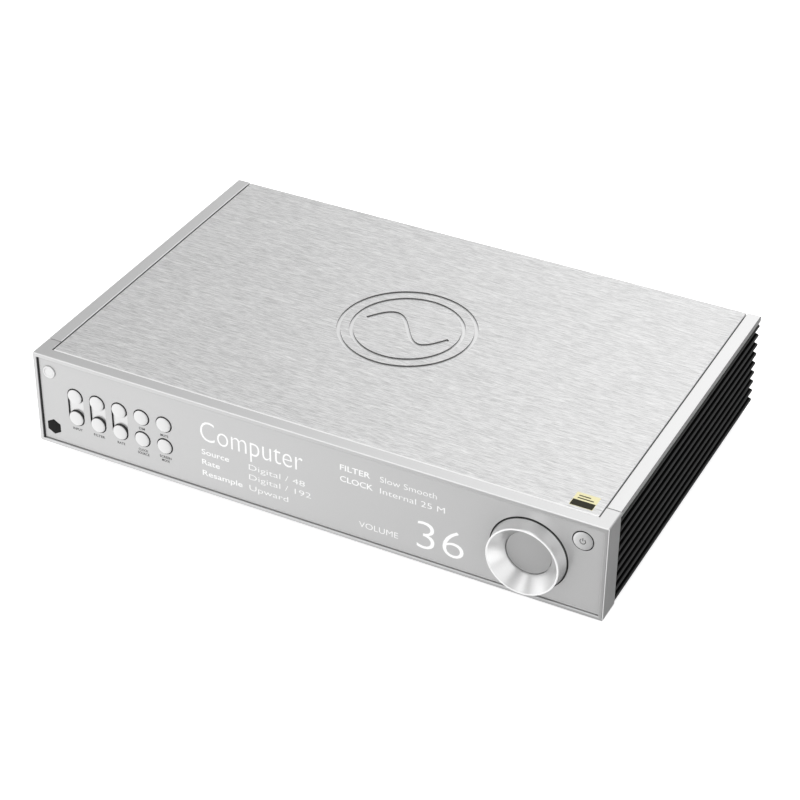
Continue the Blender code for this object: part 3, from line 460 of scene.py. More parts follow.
def buildCover():
    look = markLook
    top = coverHigh.z - look["coverDrop"]
    bm = blockShape((coverLow.x + look["railGap"], *coverLow.yz),
                    (coverHigh.x - look["railGap"], coverHigh.y, top))
    roundEdges(bm, look["coverRound"], 3)
    middle = bezelLow.y + look["fromFront"]
    floor = top - look["depth"]
    for radius in look["radii"]:
        inner = radius - look["groove"]
        ring = [(inner, floor), (radius, floor), (radius, top + 3), (inner, top + 3)]
        bm = carve(bm, turnedShape(ring, 192, (0, middle, 0), "up"))
    upper, lower = [], []
    for i in range(look["waveSteps"] + 1):
        t = i / look["waveSteps"]
        u = look["waveReach"] * (2 * t - 1)
        v = middle + look["waveSwing"] * math.sin(2 * math.pi * t)
        slope = math.pi * look["waveSwing"] / look["waveReach"] * math.cos(2 * math.pi * t)
        across = Vector((-slope, 1)).normalized() * look["groove"] / 2
        upper.append((u + across.x, v + across.y))
        lower.append((u - across.x, v - across.y))
    bm = carve(bm, plateShape([lower + upper[::-1]], floor, top + 3, "flat"))
    bm.normal_update()
    # groove walls take the painted shade, groove floors the lighter floor metal
    for face in bm.faces:
        at = face.calc_center_median()
        if abs(at.x) < 60 and abs(at.y - middle) < 60 and floor - 0.01 < at.z < top - 0.05:
            face.material_index = 2 if face.normal.z > 0.9 else 1
        # the cover's front bevel takes the painted highlight
        elif at.y < coverLow.y + 0.8 and 0.15 < face.normal.z < 0.97 and face.normal.y < -0.15:
            face.material_index = 3
    makePiece(bm, "coverPlate", [coverMetal, paintedShadeGrooveWall, grooveFloor, paintedHighlightMetal],
              standsFor="top_cover", sharpDeg=20)


finLook = {"noseSteps": 10, "tipHalf": 1.25, "rootHalf": 1.9, "reach": 3.2, "unshadedTip": 0.9,
           "firstUp": 2.5, "pitch": 7.9, "count": 9}


def buildSides():
    for side, name in ((-1, "left"), (1, "right")):
        rail = roundEdges(nodeShape("side_rail_" + name), 0.2, 2)
        rail.normal_update()
        # the upper outer chamfer takes the painted shade
        for face in rail.faces:
            if 0.3 < face.normal.z < 0.93 and side * face.normal.x > 0.3:
                face.material_index = 1
        makePiece(rail, name + "Rail", [satinMetal, railPaintedShade], standsFor="side_rail_" + name)
        low, high = boxMm("fin_panel_" + name)
        inner = high.x if side < 0 else low.x
        tip = low.x if side < 0 else high.x
        root = tip - side * finLook["reach"]
        nose = finLook["tipHalf"]
        outline = [(inner, low.z), (root, low.z)]
        for i in range(finLook["count"]):
            z = low.z + finLook["firstUp"] + i * finLook["pitch"]
            swing = arc(0, 0, nose, -90, 90, finLook["noseSteps"])
            outline.append((root, z - finLook["rootHalf"]))
            outline += [(tip - side * nose + side * u, z + v) for u, v in swing]
            outline.append((root, z + finLook["rootHalf"]))
        outline += [(root, high.z), (inner, high.z)]
        fins = plateShape([outline], low.y, high.y, "frontOn")
        fins.normal_update()
        # faces back from the tips take the painted groove shade
        for face in fins.faces:
            if abs(face.calc_center_median().x) < abs(tip) - finLook["unshadedTip"]:
                face.material_index = 1
        makePiece(fins, name + "Fins", [finFinish, finPaintedShade], standsFor="fin_panel_" + name)


def buildBase():
    roundedNode("bottom_pan", "basePan", zincSteel, 0.15, 1)
    # the black lining stands forward only at the panel's left end, a dark sheet giving a painted shade line
    # there
    gasket = nodeShape("panel_gasket")
    for vert in gasket.verts:  # lies behind the panel's edge on the right and below
        if abs(vert.co.y - panelFace) < 0.05 and (vert.co.x > panelHigh.x or vert.co.z < panelLow.z):
            vert.co.y = panelHigh.y - 0.3
    makePiece(gasket, "shadeLineAndPanelLining", rubberBlack, standsFor="panel_gasket")


footLook = {"steps": 96, "groove": 0.5, "padRings": 3}


def buildFeet():
    for name in ("front_left", "front_right", "rear_left", "rear_right"):
        low, high = boxMm("foot_" + name)
        padLow, padHigh = boxMm("foot_pad_" + name)
        centre = (low + high) / 2
        at = (centre.x, centre.y, 0)
        radius, padRadius = (high.x - low.x) / 2, (padHigh.x - padLow.x) / 2
        seat = padHigh.z + 0.3
        body = [(0, seat), (padRadius + 0.3, seat), (padRadius + 0.3, low.z), (radius - 1.2, low.z),
                (radius - 0.4, low.z + 0.4), (radius, low.z + 1.2)]
        middle = (low.z + high.z) / 2 + 0.6
        body += [(radius, middle - 0.8), (radius - footLook["groove"], middle - 0.4),
                 (radius - footLook["groove"], middle + 0.4), (radius, middle + 0.8)]
        body += [(radius, high.z - 1.5), (radius - 0.4, high.z - 0.6), (radius - 1.5, high.z), (0, high.z)]
        word = name.replace("_l", "L").replace("_r", "R")
        makePiece(turnedShape(body, footLook["steps"], at, "up"), word + "Foot", satinMetal,
                  standsFor="foot_" + name)
        pad = [(0, 0.35)]
        for i in range(footLook["padRings"]):
            r = padRadius * (i + 0.6) / (footLook["padRings"] + 0.4)
            pad += [(r, 0.35), (r + 0.5, 0), (r + 1.9, 0), (r + 2.4, 0.35)]
        pad += [(padRadius - 0.5, 0.35), (padRadius, 0.8), (padRadius, padHigh.z), (0, padHigh.z)]
        makePiece(turnedShape(pad, footLook["steps"], at, "up"), word + "Pad", rubberBlack,
                  standsFor="foot_pad_" + name)


panelLook = {"reach": 0.5, "keyHole": 6.4, "powerHole": 7.5, "knobHole": 27.6, "windowHole": 6.2,
             "edge": 0.2, "roundSteps": 40}
keyRows = [centreMm("input_up_button").z, centreMm("input_down_button").z]
pairNames, singleNames = ("input", "filter", "sampling"), ("dimmer", "mute", "clock", "display")


def buildPanel():
    look = panelLook
    loops = [roundedBoxLoop(panelLow.x, panelLow.z - look["reach"], panelHigh.x + look["reach"],
                            panelHigh.z, 0.4, 3)]
    for name in pairNames:
        loops.append(slotLoop(centreMm(name + "_up_button").x, keyRows[1], keyRows[0], look["keyHole"],
                              look["roundSteps"] // 2))
    for name in singleNames:
        at = centreMm(name + "_button")
        loops.append(circleLoop(at.x, at.z, look["keyHole"], look["roundSteps"]))
    power, window = centreMm("power_button"), centreMm("remote_window")
    loops.append(circleLoop(power.x, power.z, look["powerHole"], look["roundSteps"]))
    loops.append(circleLoop(knobCentre.x, knobCentre.z, look["knobHole"], 2 * look["roundSteps"]))
    loops.append(circleLoop(window.x, window.z, look["windowHole"], 6, 90))
    bm = plateShape(loops, panelLow.y, panelHigh.y, "frontOn")
    roundEdges(bm, look["edge"], 2, 50, where=lambda e: all(abs(v.co.y - panelLow.y) < 0.01
                                                            for v in e.verts))
    bm.normal_update()
    # the walls of the panel's openings take black plastic, as painted shade
    for face in bm.faces:
        at = face.calc_center_median()
        inside = abs(at.x) < panelHigh.x - 0.5 and panelLow.z + 0.5 < at.z < panelHigh.z - 0.5
        if inside and abs(face.normal.y) < 0.3:
            face.material_index = 1
    makePiece(bm, "displayPanel", [panelFinish, plasticBlack], standsFor="front_panel")


def paintShadeOnSides(bm):
    # the turned side of a key is painted near-black, as painted shade
    bm.normal_update()
    for face in bm.faces:
        if abs(face.normal.y) < 0.3 and face.calc_center_median().y > panelFace - 2:
            face.material_index = 1
    return bm


keyLook = {"radius": 5.7, "steps": 64, "crown": 0.12, "edge": 0.35}


def buildKeys():
    low, high = boxMm("input_up_button")
    proud = panelFace - low.y
    tail = panelFace - high.y
    radius, crown, edge = keyLook["radius"], keyLook["crown"], keyLook["edge"]
    for name in [f"{pair}_{way}" for pair in pairNames for way in ("up", "down")] + list(singleNames):
        at = centreMm(name + "_button")
        profile = [(0, proud), (radius * 0.6, proud - crown * 0.35), (radius - edge, proud - crown),
                   (radius - 0.1, proud - crown - 0.1), (radius, proud - edge - 0.1), (radius, -4.9),
                   (radius + 1.2, -4.9), (radius + 1.2, -5.9), (2.0, -5.9), (2.0, tail), (0, tail)]
        word = "".join(part.capitalize() for part in name.split("_"))
        key = turnedShape(profile, keyLook["steps"], (at.x, panelFace, at.z), "front")
        makePiece(paintShadeOnSides(key), "key" + word, [brightMetal, paintedShadeMetal], body=name + "_key",
                  standsFor=name + "_button")
    for name in pairNames:
        roundedNode("key_bridge_" + name, name + "Bridge", brightMetal, 0.1, 1)


powerLook = {"radius": 6.8, "steps": 96, "iconRadius": 1.9, "iconStroke": 0.24, "gapDeg": 38}


def buildPower():
    low, high = boxMm("power_button")
    at = centreMm("power_button")
    proud, tail, radius = panelFace - low.y, panelFace - high.y, powerLook["radius"]
    profile = [(0, proud), (radius * 0.6, proud - 0.05), (radius - 0.6, proud - 0.15),
               (radius - 0.15, proud - 0.35), (radius, proud - 0.7), (radius, -3.3), (8.4, -3.3),
               (8.4, -4.5), (2.5, -4.5), (2.5, tail), (0, tail)]
    key = turnedShape(profile, powerLook["steps"], (at.x, panelFace, at.z), "front")
    makePiece(paintShadeOnSides(key), "powerKey", [brightMetal, paintedShadeMetal], body="power_key",
              standsFor="power_button")
    half, gap = powerLook["iconStroke"], powerLook["gapDeg"]
    outer, inner = powerLook["iconRadius"] + half, powerLook["iconRadius"] - half
    ring = (arc(at.x, at.z, outer, 90 + gap, 450 - gap, 32)
            + arc(at.x, at.z, inner, 450 - gap, 90 + gap, 32))
    bar = roundedBoxLoop(at.x - half, at.z + 0.2, at.x + half, at.z + outer + 0.5, half * 0.9, 3)
    icon = joined(*(plateShape([loop], low.y - 0.04, low.y + 0.06, "frontOn") for loop in (ring, bar)))
    makePiece(icon, "powerIcon", labelInk, body="power_key")


knobLook = {"steps": 192, "dishSteps": 16, "flare": 1.12, "rimRadius": 25.4, "baseRadius": 26.9,
            "dishFloor": 16.2}


def buildKnob():
    look = knobLook
    low, high = boxMm("volume_knob")
    rim, tail = panelFace - low.y, panelFace - high.y
    outer, base, floor = look["rimRadius"], look["baseRadius"], look["dishFloor"]
    profile = []
    top = rim - 0.35
    for i in range(look["dishSteps"] + 1):
        t = i / look["dishSteps"]
        profile.append((floor + (outer - 1.25 - floor) * t ** look["flare"], 0.4 + (top - 0.4) * t))
    profile += [(outer - 1.1, rim - 0.1), (outer - 0.85, rim), (outer - 0.5, rim),
                (outer - 0.2, rim - 0.1), (outer, rim - 0.45)]
    profile += [(outer + (base - 0.3 - outer) * t ** 1.5, rim - 0.45 - (rim - 1.2) * t)
                for t in (0.2, 0.4, 0.6, 0.8, 1.0)]
    profile += [(base, 0.3), (base, -3.8), (6.5, -3.8), (6.5, tail), (3.3, tail), (3.3, -1.5),
                (floor, -1.5)]
    ring = turnedShape(profile, look["steps"], knobCentre, "front")
    ring.normal_update()
    # the front lip takes the painted highlight, the outer base by the panel the painted shade
    for face in ring.faces:
        at = face.calc_center_median() - knobCentre
        if at.y < 0.3 - rim:
            face.material_index = 1
        elif at.y > -1.1 and Vector((at.x, at.z)).length > outer + 0.5:
            face.material_index = 2
    makePiece(ring, "knobRing", [knobMetal, paintedHighlightMetal, paintedShadeMetal], body="knob", standsFor="volume_knob",
              sharpDeg=30)
    radius = (boxMm("knob_cap")[1].x - boxMm("knob_cap")[0].x) / 2
    cap = [(0, -0.2), (radius - 0.35, -0.2), (radius - 0.1, -0.3), (radius, -0.55), (radius, -1.2),
           (0, -1.2)]
    makePiece(turnedShape(cap, look["steps"], knobCentre, "front"), "knobFace", knobFaceFinish,
              body="knob", standsFor="knob_cap")


def buildFrontTrim():
    low, high = boxMm("remote_window")
    at = (low + high) / 2
    window = plateShape([circleLoop(at.x, at.z, (high.z - low.z) / 2, 6, 90)], low.y, high.y, "frontOn")
    makePiece(roundEdges(window, 0.35, 2, 50), "remoteWindow", smokedWindow, standsFor="remote_window")
    low, high = boxMm("badge")
    at, radius = (low + high) / 2, (high.x - low.x) / 2
    thick, back = panelFace - low.y, panelFace - high.y
    profile = [(0, thick - 0.25), (radius - 1.6, thick - 0.25), (radius - 1.3, thick),
               (radius - 0.3, thick), (radius, thick - 0.3), (radius, back), (0, back)]
    makePiece(turnedShape(profile, 72, (at.x, panelFace, at.z), "front"), "plainBadge", brightMetal,
              standsFor="badge")


def letteringShape(words, left, base, width, capHeight, surface, weight=0.0, thick=0.05, centred=False):
    # flat letters of one line, drawn to a width and a capital height
    line = bpy.data.curves.new("words", "FONT")
    line.body, line.size, line.offset, line.resolution_u = words, 1.0, weight / capHeight * 0.7, 4
    holder = bpy.data.objects.new("words", line)
    bpy.context.scene.collection.objects.link(holder)
    bpy.context.view_layer.update()
    mesh = bpy.data.meshes.new_from_object(holder.evaluated_get(bpy.context.evaluated_depsgraph_get()))
    bm = bmesh.new()
    bm.from_mesh(mesh)
    bpy.data.objects.remove(holder)
    bpy.data.curves.remove(line)
    bpy.data.meshes.remove(mesh)
    bmesh.ops.remove_doubles(bm, verts=bm.verts, dist=0.00002)
    low, high = min(v.co.x for v in bm.verts), max(v.co.x for v in bm.verts)
    capital = 0.69  # height of a capital in the plain letters, for a size of 1
    start = left - width / 2 if centred else left
    bm.transform(Matrix.Translation((start, base, surface)) @ Matrix.Diagonal(
        (width / (high - low), capHeight / capital, 1, 1)) @ Matrix.Translation((-low, 0, 0)))
    pushed = bmesh.ops.extrude_face_region(bm, geom=bm.faces[:])
    moved = [g for g in pushed["geom"] if isinstance(g, bmesh.types.BMVert)]
    bmesh.ops.translate(bm, verts=moved, vec=(0, 0, thick))
    bm.transform(layings["frontOn"])
    bmesh.ops.recalc_face_normals(bm, faces=bm.faces)
    return bm


boldLine, fineLine = 0.05, -0.07
displayWords = [
    # words, left edge, height above the case's base, width, capital height, stroke weight
    ("Computer", -81.8, 43.0, 79.0, 16.6, -0.3),
    ("Source", -81.4, 31.7, 21.5, 4.3, boldLine),
    ("Rate", -81.4, 23.2, 14.0, 4.3, boldLine),
    ("Resample", -81.4, 14.0, 31.5, 4.3, boldLine),
    ("Digital / 48", -44.5, 31.0, 43.0, 4.4, fineLine),
    ("Digital / 192", -44.5, 22.8, 47.5, 4.4, fineLine),
    ("Upward", -44.5, 13.8, 30.0, 4.4, fineLine),
    ("FILTER", 25.2, 54.6, 22.3, 4.4, boldLine),
    ("CLOCK", 25.2, 45.5, 24.3, 4.4, boldLine),
    ("Slow Smooth", 54.8, 54.6, 41.0, 4.5, fineLine),
    ("Internal 25 M", 54.8, 45.3, 47.0, 4.5, fineLine),
    ("VOLUME", 39.3, 12.7, 29.0, 4.7, fineLine),
    ("36", 82.0, 11.4, 34.0, 22.6, -0.5),
]


def buildDisplayWords():
    shapes = [letteringShape(words, left, caseBase + up, width, tall, panelFace - 0.04, weight)
              for words, left, up, width, tall, weight in displayWords]
    makePiece(joined(*shapes), "displayWords", displayLight)


labelLook = {"tall": 1.9, "below": 10.3, "lineStep": 2.9, "perLetter": 1.55, "weight": 0.03}
keyLabels = [("input_down", ("INPUT",)), ("filter_down", ("FILTER",)), ("sampling_down", ("RATE",)),
             ("dimmer", ("DIM",)), ("mute", ("MUTE",)), ("clock", ("CLOCK", "SOURCE")),
             ("display", ("SCREEN", "MODE"))]


def buildKeyLabels():
    look = labelLook
    shapes = []
    for name, lines in keyLabels:
        at = centreMm(name + "_button")
        for row, words in enumerate(lines):
            shapes.append(letteringShape(words, at.x, at.z - look["below"] - row * look["lineStep"],
                                         look["perLetter"] * len(words), look["tall"], panelFace - 0.04,
                                         look["weight"], centred=True))
    makePiece(joined(*shapes), "keyLabels", labelInk)


stickerLook = {"left": 182.0, "right": 198.0, "near": 13.0, "far": 27.5, "split": 19.6, "thick": 0.06}


def buildSticker():
    look = stickerLook
    near, split, far = (bezelLow.y + look[key] for key in ("near", "split", "far"))
    base = coverHigh.z - markLook["coverDrop"] - 0.01
    left, right, top = look["left"], look["right"], base + look["thick"]
    gold = plateShape([roundedBoxLoop(left, near, right, far, 0.5, 4)], base, top, "flat")
    makePiece(gold, "goldLabel", stickerGold)
    loops = [roundedBoxLoop(left + 0.3, near + 0.3, right - 0.3, split, 0.3, 3)]
    for i in range(2):
        line = split + 1.7 + i * 2.6
        loops.append(roundedBoxLoop(left + 2.4, line, right - 2.6 - 3 * i, line + 1.0, 0.3, 3))
    ink = joined(*(plateShape([loop], top, top + 0.03, "flat") for loop in loops))
    makePiece(ink, "labelBands", stickerInk)


rearLook = {"xlrHole": 11.6, "phonoHole": 5.0, "clockHole": 5.3, "steps": 48, "edge": 0.2}


def boxHole(node, margin):
    low, high = boxMm(node)
    return roundedBoxLoop(low.x - margin, low.z - margin, high.x + margin, high.z + margin, 0.8, 3)


def buildRearPanel():
    look = rearLook
    loops = [roundedBoxLoop(rearLow.x, rearLow.z, rearHigh.x, rearHigh.z, 0.4, 2)]
    for name, radius in (("xlr_left_output", look["xlrHole"]), ("xlr_right_output", look["xlrHole"]),
                         ("rca_left_output", look["phonoHole"]), ("rca_right_output", look["phonoHole"]),
                         ("coaxial_input", look["phonoHole"]), ("clock_input", look["clockHole"])):
        at = centreMm(name)
        loops.append(circleLoop(at.x, at.z, radius, look["steps"]))
    loops += [boxHole("optical_input", 0.6), boxHole("usb_input", 0.6), boxHole("rocker_frame", -1.5),
              boxHole("mains_inlet", -1.8)]
    bm = plateShape(loops, rearLow.y, rearHigh.y, "frontOn")
    roundEdges(bm, look["edge"], 1, 50, where=lambda e: all(abs(v.co.y - rearHigh.y) < 0.01
                                                            for v in e.verts))
    makePiece(bm, "backPlate", satinMetal, standsFor="rear_panel")


xlrLook = {"cup": 9.4, "wall": 1.7, "deep": 15.0, "pinCircle": 5.0, "pin": 1.2, "steps": 72}


def buildBalancedOutputs():
    look = xlrLook
    for side in ("left", "right"):
        node = f"xlr_{side}_output"
        low, high = boxMm(node)
        at = (low + high) / 2
        face = rearFace + 0.3
        inner, outer, deep = look["cup"], look["cup"] + look["wall"], -look["deep"]
        cup = [(0, deep - 2), (outer, deep - 2), (outer, 1.6), (outer - 0.6, 2.2), (inner + 0.4, 2.2),
               (inner, 1.7), (inner, deep), (0, deep)]
        loops = [roundedBoxLoop(low.x, low.z, high.x, high.z, 2.5, 8),
                 circleLoop(at.x, at.z, inner + 0.8, look["steps"])]
        flange = plateShape(loops, face, face + 2.0, "frontOn")
        roundEdges(flange, 0.35, 2, 50, where=lambda e: all(abs(v.co.y - face - 2.0) < 0.01
                                                            for v in e.verts))
        shell = joined(turnedShape(cup, look["steps"], (at.x, face, at.z), "back"), flange)
        makePiece(shell, side + "BalancedShell", plasticBlack, standsFor=node)
        pins = []
        for angle in (90, 210, 330):
            u = at.x + look["pinCircle"] * math.cos(math.radians(angle))
            v = at.z + look["pinCircle"] * math.sin(math.radians(angle))
            thick = look["pin"]
            profile = [(0, deep - 0.5), (thick, deep - 0.5), (thick, -1.3), (thick * 0.75, -0.7),
                       (thick * 0.4, -0.5), (0, -0.45)]
            pins.append(turnedShape(profile, 24, (u, face, v), "back"))
        makePiece(joined(*pins), side + "BalancedPins", goldPlate)


def buildPhonoSockets():
    for node, ringColour in (("rca_left_output", ringWhite), ("rca_right_output", ringRed),
                             ("coaxial_input", ringOrange)):
        low, high = boxMm(node)
        at, face = (low + high) / 2, rearFace + 0.3
        reach = high.y - face
        barrel = [(0, -8), (4.6, -8), (4.6, 0), (6.2, 0), (6.6, 0.4), (6.6, 2.2), (6.2, 2.6), (4.15, 2.6)]
        for i in range(5):  # shallow thread
            z = 3.2 + i * 0.7
            barrel += [(4.15, z), (3.95, z + 0.2), (3.95, z + 0.4), (4.15, z + 0.6)]
        barrel += [(4.15, reach - 0.3), (3.85, reach), (3.5, reach), (3.4, reach - 0.2), (3.4, 1.5),
                   (0, 1.5)]
        name = node.replace("_output", "").replace("_input", "").replace("_l", "L").replace("_r", "R")
        makePiece(turnedShape(barrel, 64, (at.x, face, at.z), "back"), name + "Barrel", goldPlate,
                  standsFor=node)
        ring = [(1.6, 1.6), (3.35, 1.6), (3.35, reach - 0.5), (3.2, reach - 0.35), (1.8, reach - 0.35),
                (1.6, reach - 0.55)]
        makePiece(turnedShape(ring, 48, (at.x, face, at.z), "back"), name + "Insulator", ringColour)


def buildClockSocket():
    low, high = boxMm("clock_input")
    at, face = (low + high) / 2, rearFace + 0.3
    reach = high.y - face
    barrel = [(0, -8), (4.9, -8), (4.9, 0), (6.6, 0), (7.0, 0.4), (7.0, 2.0), (6.6, 2.4), (4.8, 2.4),
              (4.8, reach - 0.3), (4.5, reach), (4.1, reach), (3.9, reach - 0.3), (3.9, 1.5), (0, 1.5)]
    shapes = [turnedShape(barrel, 64, (at.x, face, at.z), "back")]
    for side in (-1, 1):
        shapes.append(roundEdges(blockShape((at.x + side * 5.1 - 0.6, face + 5.0, at.z - 0.9),
                                            (at.x + side * 5.1 + 0.6, face + 6.8, at.z + 0.9)), 0.3, 2))
    makePiece(joined(*shapes), "clockBarrel", zincSteel, standsFor="clock_input")
    core = [(1.0, 1.6), (2.4, 1.6), (2.4, 6.6), (1.0, 6.6)]
    makePiece(turnedShape(core, 32, (at.x, face, at.z), "back"), "clockInsulator", ringWhite)
    pin = [(0, 1.6), (0.9, 1.6), (0.9, 6.6), (0.6, 7.0), (0, 7.0)]
    makePiece(turnedShape(pin, 24, (at.x, face, at.z), "back"), "clockPin", goldPlate)


def buildDataSockets():
    roundedNode("usb_input", "dataShell", zincSteel, 0.2)
    at, face = centreMm("usb_input"), rearFace + 0.3
    tongue = roundEdges(blockShape((at.x - 2.9, face - 9.8, at.z - 1.7),
                                   (at.x + 2.9, face - 1.4, at.z + 1.6)), 0.25, 2)
    makePiece(tongue, "dataTongue", ringWhite)
    contacts = [blockShape((at.x + u - 0.4, face - 8.5, at.z + v),
                           (at.x + u + 0.4, face - 1.8, at.z + v + 0.12))
                for u in (-1.3, 1.3) for v in (1.55, -1.77)]
    makePiece(joined(*contacts), "dataContacts", goldPlate)
    roundedNode("optical_input", "opticalPort", plasticBlack, 0.3)
    roundedNode("optical_shutter", "opticalFlap", plasticBlack, 0.12, body="shutter")


def buildMainsParts():
    roundedNode("rocker_frame", "rockerRim", plasticBlack, 0.35)
    roundedNode("mains_rocker", "rockerPaddle", plasticBlack, 0.4, body="rocker")
    roundedNode("mains_inlet", "inletShell", plasticBlack, 0.35)
    roundedNode("fuse_drawer", "fuseTray", plasticBlack, 0.3, body="drawer")
    at, face = centreMm("mains_inlet"), rearFace + 0.3
    blades = [roundEdges(blockShape((at.x + u - 1.05, face - 15.9, at.z + v - 2.05),
                                    (at.x + u + 1.05, face - 2.5, at.z + v + 2.05)),
                         0.35, 2) for u, v in ((-7, 2.2), (0, 6.2), (7, 2.2))]
    makePiece(joined(*blades), "inletBlades", zincSteel)


screwLook = {"rearAt": (-198, -66, 66, 198), "head": 2.7, "thick": 0.9, "crossLong": 1.5,
             "crossWide": 0.32, "steps": 32}


def screwHeadShape():
    look = screwLook
    r, t = look["head"], look["thick"]
    profile = [(0, -0.3), (r, -0.3), (r, t * 0.45), (r - 0.25, t * 0.75), (r * 0.55, t), (0, t)]
    head = turnedShape(profile, look["steps"], (0, 0, 0), "up")
    for turn in (0, 90):
        cross = blockShape((-look["crossLong"], -look["crossWide"], t - 0.6),
                           (look["crossLong"], look["crossWide"], t + 1))
        cross.transform(Matrix.Rotation(math.radians(turn), 4, "Z"))
        head = carve(head, cross)
    return head


def placedScrews(spots, facing, name):
    one = bpy.data.meshes.new("screwHead")
    screwHeadShape().to_mesh(one)
    whole = bmesh.new()
    for i, spot in enumerate(spots):
        bm = bmesh.new()
        bm.from_mesh(one)
        bm.transform(Matrix.Translation(spot) @ facings[facing] @ Matrix.Rotation(0.7 * i, 4, "Z"))
        whole = joined(whole, bm)
    bpy.data.meshes.remove(one)
    makePiece(whole, name, zincSteel)


def buildScrews():
    top, bottom = rearHigh.z - 5, rearLow.z + 5
    spots = [(x, rearFace, z) for x in screwLook["rearAt"] for z in (bottom, top)]
    placedScrews(spots, "back", "rearScrews")
    flanges = []
    for side in ("left", "right"):
        low, high = boxMm(f"xlr_{side}_output")
        flanges += [(low.x + 3.3, rearFace + 2.3, high.z - 3.3),
                    (high.x - 3.3, rearFace + 2.3, low.z + 3.3)]
    placedScrews(flanges, "back", "socketScrews")
    low, high = boxMm("bottom_pan")
    under = [(x, y, low.z) for x in (low.x + 7, 0, high.x - 7) for y in (low.y + 8, high.y - 8)]
    under += [(x, 0, low.z) for x in (low.x + 7, high.x - 7)]
    placedScrews(under, "down", "baseScrews")


insideFinishes = {
    "key_carrier": plasticBlack, "key_board": boardGreen, "power_switch": plasticBlack,
    "encoder_shaft": zincSteel, "encoder_body": plasticBlack, "front_subframe": zincSteel,
    "display_module": boardGreen, "ribbon_cable": rubberBlack, "main_board": boardGreen,
    "power_supply": zincSteel, "toroidal_transformer": windingCopper,
}


def finishInside():
    for node, material in insideFinishes.items():
        mesh = nodes[node].data
        mesh.materials.clear()
        mesh.materials.append(material)


for stage in (buildBezel, buildCover, buildSides, buildBase, buildFeet, buildPanel, buildKeys,
              buildPower, buildKnob, buildFrontTrim, buildDisplayWords, buildKeyLabels, buildSticker,
              buildRearPanel, buildBalancedOutputs, buildPhonoSockets, buildClockSocket,
              buildDataSockets, buildMainsParts, buildScrews, finishInside):
    stage()
    print("done:", stage.__name__)


cameraSetup = {"place": (0.587, -1.166, 0.9174), "turnDeg": (55.7, -0.498, 27.109), "lens": 99.62}
floorLook = {"half": 6.0, "tone": 0.9, "glow": 0.65}
# brightness of the surroundings: (toward x, brightness) below and above the horizon, and soft boxes as
# (direction, cosine of the outer edge, cosine of the inner edge, brightness)
skyLook = {"below": ((-0.85, 0.72), (-0.56, 1.24), (-0.38, 0.98), (-0.24, 0.2), (0.45, 0.16), (0.85, 1.38)),
           "above": ((-0.95, 0.9), (-0.52, 0.40), (-0.25, 1.28), (0.1, 1.15), (0.5, 0.55))}
softBoxes = [((-0.37, -0.72, 0.58), 0.94, 0.985, 0.5), ((0.745, -0.415, 0.538), 0.84, 0.96, 0.6),
             ((-0.87, -0.1, 0.48), 0.86, 0.96, 0.5), ((0.17, -0.41, 0.87), 0.93, 0.99, -0.6)]
lights = [
    # name, place, aimed at, width, height, watts
    ("overheadSoftbox", (0.6, 0.5, 2.4), (0.1, 0, 0.05), 2.0, 1.4, 7),
]


def skyRamp(tree, along, stops):
    ramp = tree.nodes.new("ShaderNodeValToRGB")
    spots = [(x + 1) / 2 for x, _ in stops]
    ramp.color_ramp.interpolation = "EASE"
    while len(ramp.color_ramp.elements) < len(stops):
        ramp.color_ramp.elements.new(0.5)
    for element, spot, (_, level) in zip(ramp.color_ramp.elements, spots, stops):
        element.position = spot
        element.color = (level, level, level, 1)
    tree.links.new(along, ramp.inputs["Fac"])
    return ramp.outputs["Color"]


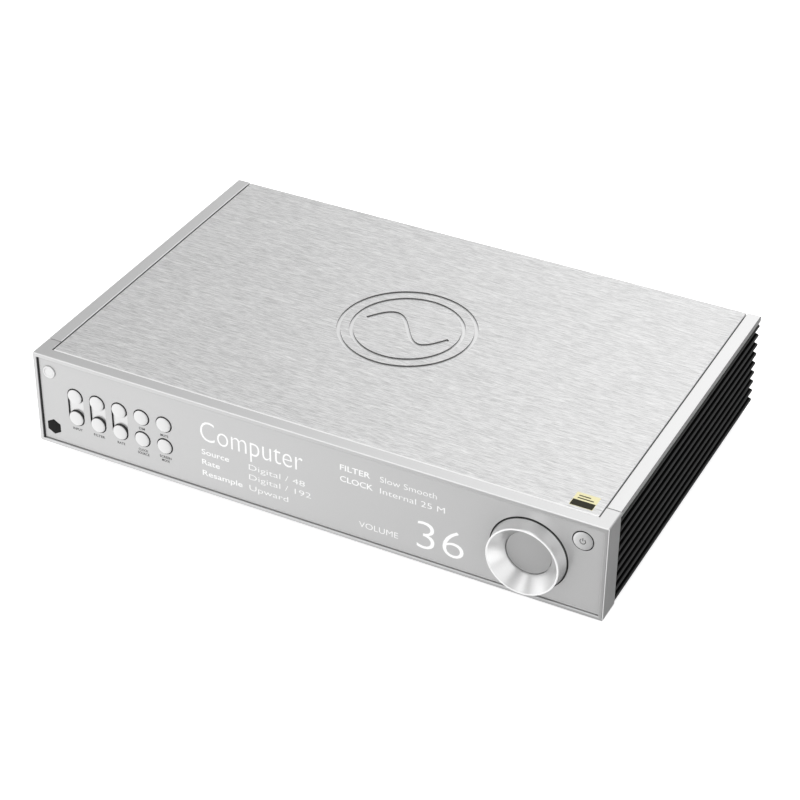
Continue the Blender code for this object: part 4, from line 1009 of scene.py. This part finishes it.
def buildSky():
    world = bpy.data.worlds.new("softStudio")
    world.use_nodes = True
    tree = world.node_tree
    split = tree.nodes.new("ShaderNodeSeparateXYZ")
    place = tree.nodes.new("ShaderNodeTexCoord").outputs["Generated"]
    tree.links.new(place, split.inputs[0])
    sideways = mathNode(tree, "MULTIPLY_ADD", split.outputs[0], 0.5)
    sideways.node.inputs[2].default_value = 0.5
    rise = mathNode(tree, "MULTIPLY_ADD", split.outputs[2], 4.0, clamp=True)
    rise.node.inputs[2].default_value = 0.5
    total = tintNode(tree, rise, skyRamp(tree, sideways, skyLook["below"]),
                     skyRamp(tree, sideways, skyLook["above"]))
    for towards, outer, inner, level in softBoxes:
        facing = tree.nodes.new("ShaderNodeVectorMath")
        facing.operation = "DOT_PRODUCT"
        facing.inputs[1].default_value = Vector(towards).normalized()
        tree.links.new(place, facing.inputs[0])
        edge = tree.nodes.new("ShaderNodeMapRange")
        edge.interpolation_type = "SMOOTHSTEP"
        for socket, value in zip(edge.inputs[1:5], (outer, inner, 0, level)):
            socket.default_value = value
        tree.links.new(facing.outputs["Value"], edge.inputs[0])
        summed = tree.nodes.new("ShaderNodeVectorMath")
        summed.operation = "ADD"
        tree.links.new(total, summed.inputs[0])
        tree.links.new(edge.outputs[0], summed.inputs[1])
        total = summed.outputs[0]
    tree.links.new(total, tree.nodes["Background"].inputs["Color"])
    bpy.context.scene.world = world


def buildStudio():
    floor = bmesh.new()
    bmesh.ops.create_grid(floor, x_segments=1, y_segments=1, size=floorLook["half"])
    mesh = bpy.data.meshes.new("paleFloor")
    floor.to_mesh(mesh)
    floor.free()
    surface = bpy.data.objects.new("paleFloor", mesh)
    bpy.context.scene.collection.objects.link(surface)
    paper = bpy.data.materials.new("palePaper")
    paper.use_nodes = True
    shader = paper.node_tree.nodes["Principled BSDF"]
    shader.inputs["Base Color"].default_value = (*grey(floorLook["tone"]), 1)
    shader.inputs["Roughness"].default_value = 0.9
    shader.inputs["Specular IOR Level"].default_value = 0.1
    shader.inputs["Emission Color"].default_value = (1, 1, 1, 1)
    shader.inputs["Emission Strength"].default_value = floorLook["glow"]
    mesh.materials.append(paper)
    surface.visible_glossy = False  # metal sees the soft surroundings under it instead
    for name, place, aim, width, height, watts in lights:
        lamp = bpy.data.lights.new(name, "AREA")
        lamp.shape, lamp.size, lamp.size_y, lamp.energy = "RECTANGLE", width, height, watts
        holder = bpy.data.objects.new(name, lamp)
        bpy.context.scene.collection.objects.link(holder)
        holder.location = place
        holder.rotation_euler = (Vector(aim) - Vector(place)).to_track_quat("-Z", "Y").to_euler()
    buildSky()
    bpy.context.scene.view_settings.view_transform = "Standard"
    lens = bpy.data.cameras.new("studioCamera")
    lens.lens, lens.sensor_width, lens.clip_start, lens.clip_end = cameraSetup["lens"], 36, 0.05, 50
    camera = bpy.data.objects.new("studioCamera", lens)
    bpy.context.scene.collection.objects.link(camera)
    camera.location = cameraSetup["place"]
    camera.rotation_euler = [math.radians(a) for a in cameraSetup["turnDeg"]]
    bpy.context.scene.camera = camera


buildStudio()
print("studio ready")

bpy.context.view_layer.update()
